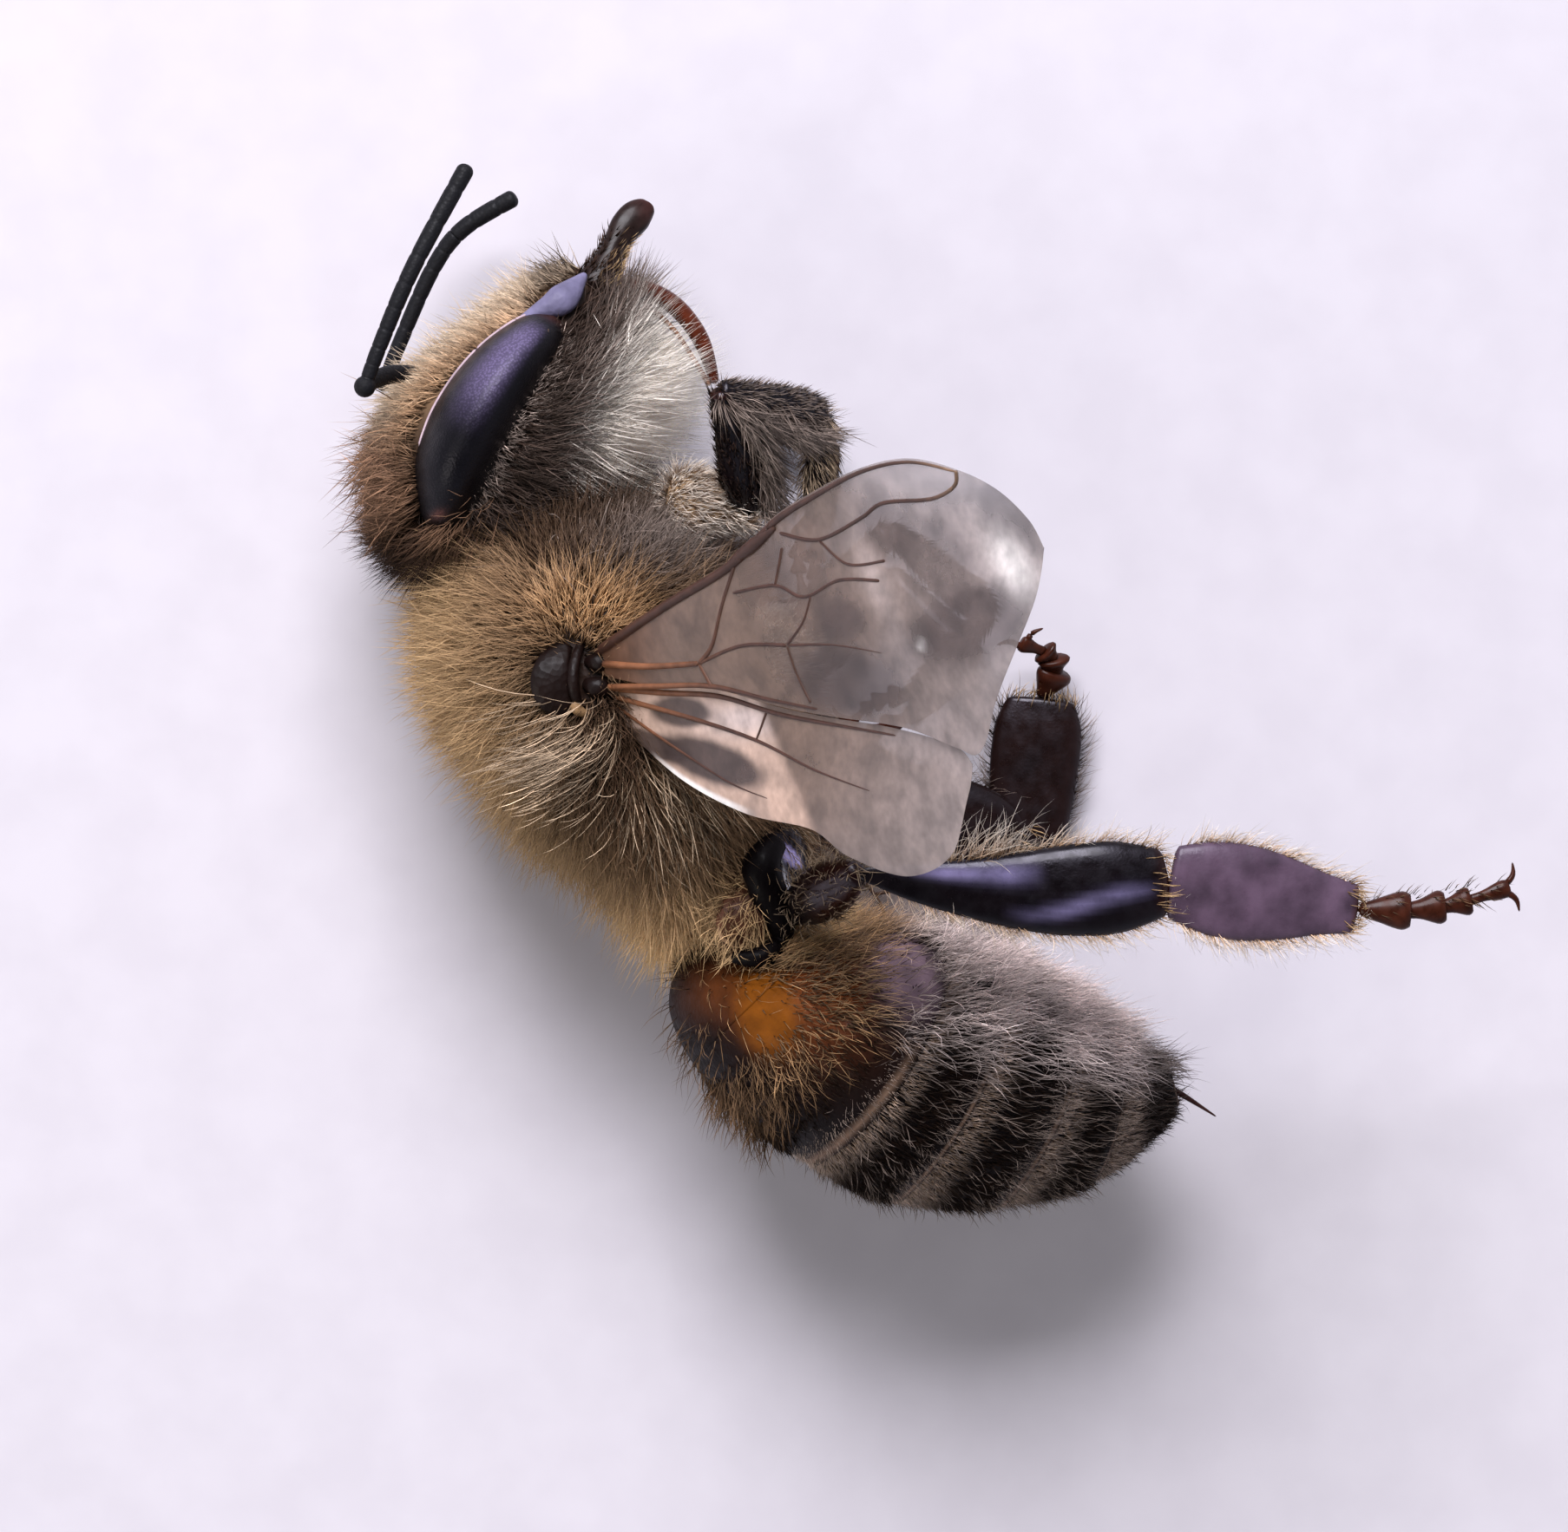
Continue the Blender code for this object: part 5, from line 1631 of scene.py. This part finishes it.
def face_shades(points, u, v):
    """Tan, red-brown towards the crown, with black stripes above the bare cheek."""
    mouth, _ = head_place(points)
    stripes, brown = 0.9 * near(points, (-0.44, 4.32), (0.28, 0.13), 45.0), ramp(mouth, -0.20, -1.00)
    tip = layered(FACE_FUR * 1.1, (FAWN_FUR, ramp(np.abs(points[:, 2]), 0.5, 1.1)), (CROWN_FUR * 1.1, brown),
                  (DARK_FUR * 0.7, stripes))
    return blend(TAN_FUR * 0.6, DARK_FUR * 0.5, np.maximum(stripes, brown)), tip


def crown_flow(points, u, v):
    """To the back, and more and more down towards the nape."""
    return heading(195 + 25 * ramp(points[:, 1], 2.4, 1.4)) + 0.3 * SIDE * np.sign(points[:, 2:])


def crown_length(points, u, v):
    """Longer towards the nape."""
    return 0.28 + 0.32 * ramp(points[:, 1], 2.2, 1.5)


def crown_shades(points, u, v):
    """Tan in front, red-brown on top and black towards the nape."""
    front, nape = ramp(points[:, 1], 2.5, 3.1), ramp(points[:, 1], 2.0, 1.5)
    tip = layered(CROWN_FUR, (TAN_FUR, front), (DARK_FUR * 0.6, nape))
    return blend(DARK_FUR * 0.4, TAN_FUR * 0.4, front), tip


def cheek_flow(points, u, v):
    """Up and to the right near the mouth, to the right half way, down and right near the crown."""
    mouth, _ = head_place(points)
    return heading(-50 + 95 * ramp(mouth, -1.3, 1.5)) + 0.25 * SIDE * np.sign(points[:, 2:])


def cheek_length(points, u, v):
    """Short beside the eye, long towards the nape."""
    _, face = head_place(points)
    return 0.32 + 0.44 * ramp(face, 0.0, -0.45)


def cheek_shades(points, u, v):
    """Nearly black beside the eye; the tips turn from brown to grey towards the nape and the mouth."""
    mouth, face = head_place(points)
    light = ramp(face, -0.05, -0.7)
    pale = np.maximum(light * ramp(mouth, -0.6, 0.6), 0.4 * light)
    white = beard_place(points, u, v)
    root = layered(DARK_FUR * 0.35, (DARK_FUR, light), (CREAM_FUR * 0.6, white))
    return root, layered(DARK_FUR * 1.1, (GREY_FUR * 0.8, 0.12 + 0.88 * pale), (CREAM_FUR, white))


def beard_flow(points, u, v):
    """To the right, and down over the hip of the fore leg."""
    mouth, _ = head_place(points)
    return heading(-38 + 26 * ramp(mouth, 0.0, 0.7))


def beard_length(points, u, v):
    """Shorter towards the tongue."""
    mouth, _ = head_place(points)
    return 1.10 - 0.55 * ramp(mouth, 0.8, 1.5)


def beard_shades(points, u, v):
    """Grey where the beard begins below the cheek, cream-white in its middle."""
    _, face = head_place(points)
    white = ramp(face, -0.36, -0.52)
    return blend(GREY_FUR, CREAM_FUR * 1.1, white), blend(GREY_FUR * 1.2, CREAM_FUR * 1.3, white)


# %% Grow the head's hair
grow("face_coat", head_form, "coat", 21, 13000, on_face, FACE_FLOW, 0.25, 50, face_shades, locks=6,
     pull=0.4, radius=0.0075, rings=1, mess=0.28, contrast=0.3)
grow("face_fringe", head_form, "coat", 26, 1800, on_face, FACE_FLOW, 0.42, 55, face_shades, locks=3,
     pull=0.2, radius=0.0055, rings=2, mess=0.40, contrast=0.2)
grow("crown_coat", head_form, "coat", 22, 7000, on_crown(-0.70, -1.10), crown_flow, crown_length, 46,
     crown_shades, locks=14, pull=0.9, radius=0.0080, rings=2, mess=0.24, wave=0.2)
grow("crown_spikes", head_form, "coat", 27, 1500, on_crown(-0.30, -1.00), crown_flow, 0.62, 42,
     crown_shades, locks=5, pull=0.5, radius=0.0062, rings=3, mess=0.32, contrast=0.4, wave=0.3)
grow("cheek_coat", head_form, "coat", 23, 14000, on_cheek, cheek_flow, cheek_length, 36, cheek_shades,
     locks=7, pull=0.40, radius=0.0070, rings=2, mess=0.24, contrast=0.32, wave=0.3)
grow("eye_fringe", head_form, "coat", 25, 3000, by_eye, cheek_flow, 0.20, 68,
     (DARK_FUR * 0.7, GREY_FUR * 0.9), locks=3, pull=0.3, radius=0.0075, rings=1, mess=0.4, contrast=0.4)
grow("beard", head_form, "coat", 24, 9000, beard_place, beard_flow, beard_length, 44,
     beard_shades, locks=8, pull=0.20, radius=0.0070, mess=0.18, rings=2, contrast=0.06)

# %% [markdown]
# ## Hair of the abdomen
#
# Each hoop has a band of short pale felt behind the rim of the hoop before it, and short black hair
# further back. The last bit before its own rim is bald, so that the rims show as thin pale lines. Long
# hair lies over all this and points to the sting: sparse and grey on the flank, dense and white-grey on
# the belly, golden on the first two hoops. The mauve patch and the amber window are nearly bare.

# %% Felt of the hoops
def abdomen_flow(points, u, v):
    """From the waist to the sting, along the curl of the abdomen."""
    axis = abdomen_axis(np.linspace(0, 1, 60))[:, :2]
    nearest = np.argmin(((points[:, None, :2] - axis) ** 2).sum(-1), axis=1)
    step = unit(np.gradient(axis, axis=0))[nearest]
    return np.concatenate([step, 0.12 * np.sign(points[:, 2:])], axis=-1)


def felt_shades(number):
    """Pale behind the rim in front, black-brown further back."""
    def shades(points, u, v):
        pale = ramp(u, 0.56, 0.30) if number > 2 else 0.4 * ramp(u, 0.85, 0.55)
        dark, light = DARK_FUR * 0.35, GREY_FUR * 1.7 if number > 2 else TAN_FUR
        return blend(dark, TAN_FUR * 0.8, pale), blend(dark * 1.4, light, pale)
    return shades


def bare_dome(points):
    """1 on the dome of the first hoop and on the amber window, where hardly any hair grows."""
    return np.maximum(spot(points, (1.60, -3.42), 0.42), spot(points, (0.98, -3.50), (0.80, 0.70)))


def felt_density(number):
    """None on the dome and the amber window, and bald before every rim."""
    def density(points, u, v):
        down = from_back(v)
        if number == 1:
            cover = np.maximum(ramp(u, 0.35, 0.1), ramp(down, 0.55, 0.7))
            return cover * (1 - bare_dome(points)) * showing(points)
        cover = 0.5 if number == 2 else 0.75 + 0.5 * ramp(u, 0.56, 0.30)
        bare = np.maximum(bare_patch(points), bare_dome(points) if number == 2 else 0)
        return cover * ramp(u, 0.90, 0.82) * (1 - 0.95 * bare) * showing(points)
    return density


# %% Long hair of the flank and belly
def flank_density(number):
    """Wool on the belly and single hairs elsewhere, with the mauve patch and the dome left bare."""
    def density(points, u, v):
        down = from_back(v)
        few = {1: 0.35, 2: 0.5 * ramp(u, 0.85, 0.6), 5: 0.3, 6: 0.6}.get(number, 0.15)
        bare = np.maximum(bare_patch(points), bare_dome(points) if number < 3 else 0)
        cover = few + (1 - few) * ramp(down, 0.44, 0.70)
        return cover * (1 - 0.85 * bare) * ramp(u, 0.95, 0.85) * showing(points)
    return density


def flank_length(number):
    """Shortest on the back, longest on the belly, and shorter on the last hoop; all alike in front."""
    if number < 3:
        return 0.38
    return lambda points, u, v: (0.20 + 0.26 * ramp(from_back(v), 0.1, 0.7)) * (0.8 if number == 6 else 1.0)


def flank_lift(points, u, v):
    """Steep on the back and flatter towards the belly."""
    return 50 - 20 * ramp(from_back(v), 0.15, 0.45)


def flank_shades(number):
    """Brown at the root; grey at the tip on the flank, white-grey on the belly, golden in front."""
    def shades(points, u, v):
        down = from_back(v)
        tip = blend(GREY_FUR * 0.66, WOOL_FUR * 1.5, ramp(down, 0.44, 0.66))
        if number < 3:
            golden = ramp(near(points, (2.05, -2.95), 1.05), 0.15, 0.6)
            tip = layered(tip, (UMBER_FUR * 1.3, ramp(down, 0.60, 0.48)),
                          (blend(GOLD_FUR, ORANGE_FUR, 0.5), golden))
        if number == 6:
            tip = tip * 0.25
        return blend(DARK_FUR * 0.7, GREY_FUR * 0.5, ramp(down, 0.5, 0.7)), tip
    return shades


# %% Grow the abdomen's hair
FELT_COUNTS = (3000, 3800, 10000, 10000, 9000, 5200)
FLANK_COUNTS = (1300, 3000, 2700, 2800, 2700, 1400)
for number, felt, long_hair in zip(range(1, 7), FELT_COUNTS, FLANK_COUNTS):
    grow(f"felt_{number}", hoop_form(number), "coat", 30 + number, felt, felt_density(number), abdomen_flow,
         0.13 if number > 1 else 0.42, 30, felt_shades(number) if number > 1 else (UMBER_FUR, GOLD_FUR),
         locks=5, pull=0.4, radius=0.0066, rings=1, mess=0.20)
    grow(f"flank_hair_{number}", hoop_form(number), "coat", 40 + number, long_hair, flank_density(number),
         abdomen_flow, flank_length(number), flank_lift, flank_shades(number), locks=5, pull=0.5,
         radius=0.0044, rings=3, mess=0.22, contrast=0.3, wave=0.40)

# %% [markdown]
# ## Hair of the legs
#
# The legs carry short dark bristles, paler and denser ones on the hips, and pale curved fringes along
# the edges of the hind shin and foot.

# %% Leg coat
def all_over(points, u, v):
    """The same everywhere."""
    return np.ones(np.shape(u))


def leg_flow(word, part, sideways=0.0):
    """From the body towards the claws, and sideways in the plane of symmetry."""
    place = list(SLIM_SHAPES).index(part)
    joints = np.array(LEG_JOINTS[word])
    way = unit(joints[place + 1] - joints[place])
    return way + sideways * np.cross(SIDE, way)


def edges_only(points, u, v):
    """Only along the two edges of a plate."""
    return bell(from_whole(v * 2), 0.05) * ramp(u, 0.02, 0.2)


def inner_edge(points, u, v):
    """Only along the edge of the limb that faces the body."""
    return bell(v - 0.5, 0.11) * ramp(u, 0.98, 0.85)


def upper_edge(points, u, v):
    """The first half of the edge that is nearer to the mouth."""
    return bell(np.minimum(v, 1 - v), 0.05) * ramp(u, 0.04, 0.12) * ramp(u, 0.55, 0.40)


def far_end(points, u, v):
    """Only at the end of the limb."""
    return ramp(u, 0.90, 0.94)


def leg_hair(word, part, seed):
    """Bristles of one limb; the hind plates have fringes instead, and a cage of bristles at the heel."""
    form, hidden = LEG_PARTS[f"{word}_{part}"], word.endswith("left")
    if word == "hip_right":
        return grow("bristle_hip", form, "horn", seed, 420, all_over, heading(-110.0), 0.36, 35,
                    (UMBER_FUR * 1.3, GOLD_FUR * 1.2), locks=3, radius=0.0050, mess=0.40, wave=0.5)
    if part == "foot":
        return grow("bristle_foot", form, "horn", seed, 110, all_over, heading(0.0), 0.16, 45,
                    (DARK_FUR, UMBER_FUR), locks=2, radius=0.006, rings=2)
    name, flow = f"{word}_{part}", leg_flow(word, part)
    if word.startswith("hind") and part in ("tibia", "basitarsus"):
        shades = (FAWN_FUR, CREAM_FUR * 0.9) if word == "hind_right" else (DARK_FUR, GREY_FUR)
        grow(f"fringe_{name}", form, "horn", seed, 300 if hidden else 750, edges_only, flow, 0.24, 40, shades,
             locks=2, pull=0.08, droop=0.45, radius=0.0032, ragged=0.35, mess=0.26, wave=0.4)
        grow(f"heel_{name}", form, "horn", seed + 40, 90, far_end, flow, 0.20, 25, (UMBER_FUR, GOLD_FUR),
             locks=2, pull=0.1, droop=0.5, radius=0.005)
        if name == "hind_right_tibia":
            grow("fringe_long", form, "horn", seed + 90, 150, upper_edge, flow, 0.55, 58,
                 (TAN_FUR, CREAM_FUR * 0.8), locks=3, pull=0.2, droop=0.3, radius=0.0042, rings=5,
                 mess=0.30, wave=0.5)
    elif word.startswith("hind"):
        grow(f"bristle_{name}", form, "horn", seed, 160 if hidden else 420, all_over, flow, 0.30, 22,
             (UMBER_FUR * 0.6, BLOND_FUR * 0.7), locks=3, pull=0.2, radius=0.0046, wave=0.4)
    elif part == "coxa":
        grow(f"bristle_{name}", form, "horn", seed, 500 if hidden else 2600, all_over, flow, 0.22, 32,
             (TAN_FUR, CREAM_FUR * 0.9), locks=3, pull=0.15, radius=0.005, rings=2, mess=0.25)
    elif name == "fore_right_tibia":
        grow(f"bristle_{name}", form, "horn", seed, 1500, all_over, flow, 0.11, 40,
             (DARK_FUR * 0.6, GREY_FUR * 1.2), locks=3, pull=0.3, radius=0.006, rings=1)
    elif name == "fore_right_basitarsus":
        grow(f"bristle_{name}", form, "horn", seed, 700, all_over, leg_flow(word, part, 0.6), 0.20, 40,
             (DARK_FUR, BLOND_FUR), locks=4, pull=0.3, radius=0.006, rings=2)
    else:
        grow(f"bristle_{name}", form, "horn", seed, 400 if hidden else 900, all_over, flow, 0.13, 26,
             (DARK_FUR * 0.3, DARK_FUR), locks=4, pull=0.4, radius=0.006, rings=1)
    if name in ("fore_right_femur", "fore_right_tibia"):
        grow(f"fan_{name}", form, "horn", seed + 80, 900, inner_edge, heading(-48.0), 0.46, 20,
             (DARK_FUR * 0.6, GREY_FUR), locks=5, pull=0.3, radius=0.0065, mess=0.26, rings=2)


for seed, name in enumerate(LEG_PARTS, start=60):
    leg_hair(*name.rsplit("_", 1), seed)

# %% [markdown]
# Short brown hair clothes the root of each jaw, and turns golden along its inner edge.

# %% Jaw hair
def jaw_root(points, u, v):
    """Only at the root of the jaw."""
    return ramp(u, 0.50, 0.20)


def jaw_shades(points, u, v):
    """Dark, and golden along the inner edge."""
    inner = ramp(np.cos(2 * np.pi * v), 0.2, -0.5)
    return DARK_FUR, blend(DARK_FUR * 1.6, GOLD_FUR, inner)


for side, word in SIDES:
    grow(f"jaw_hair_{word}", jaw_form(side), "horn", 120 + side, 420, jaw_root,
         heading(50.0), 0.11, 32, jaw_shades, locks=4, pull=0.3, radius=0.006, rings=2)
print("triangles in the coat:", sum(COAT_TOTAL), "in", len(COAT_TOTAL), "pieces, largest", max(COAT_TOTAL))
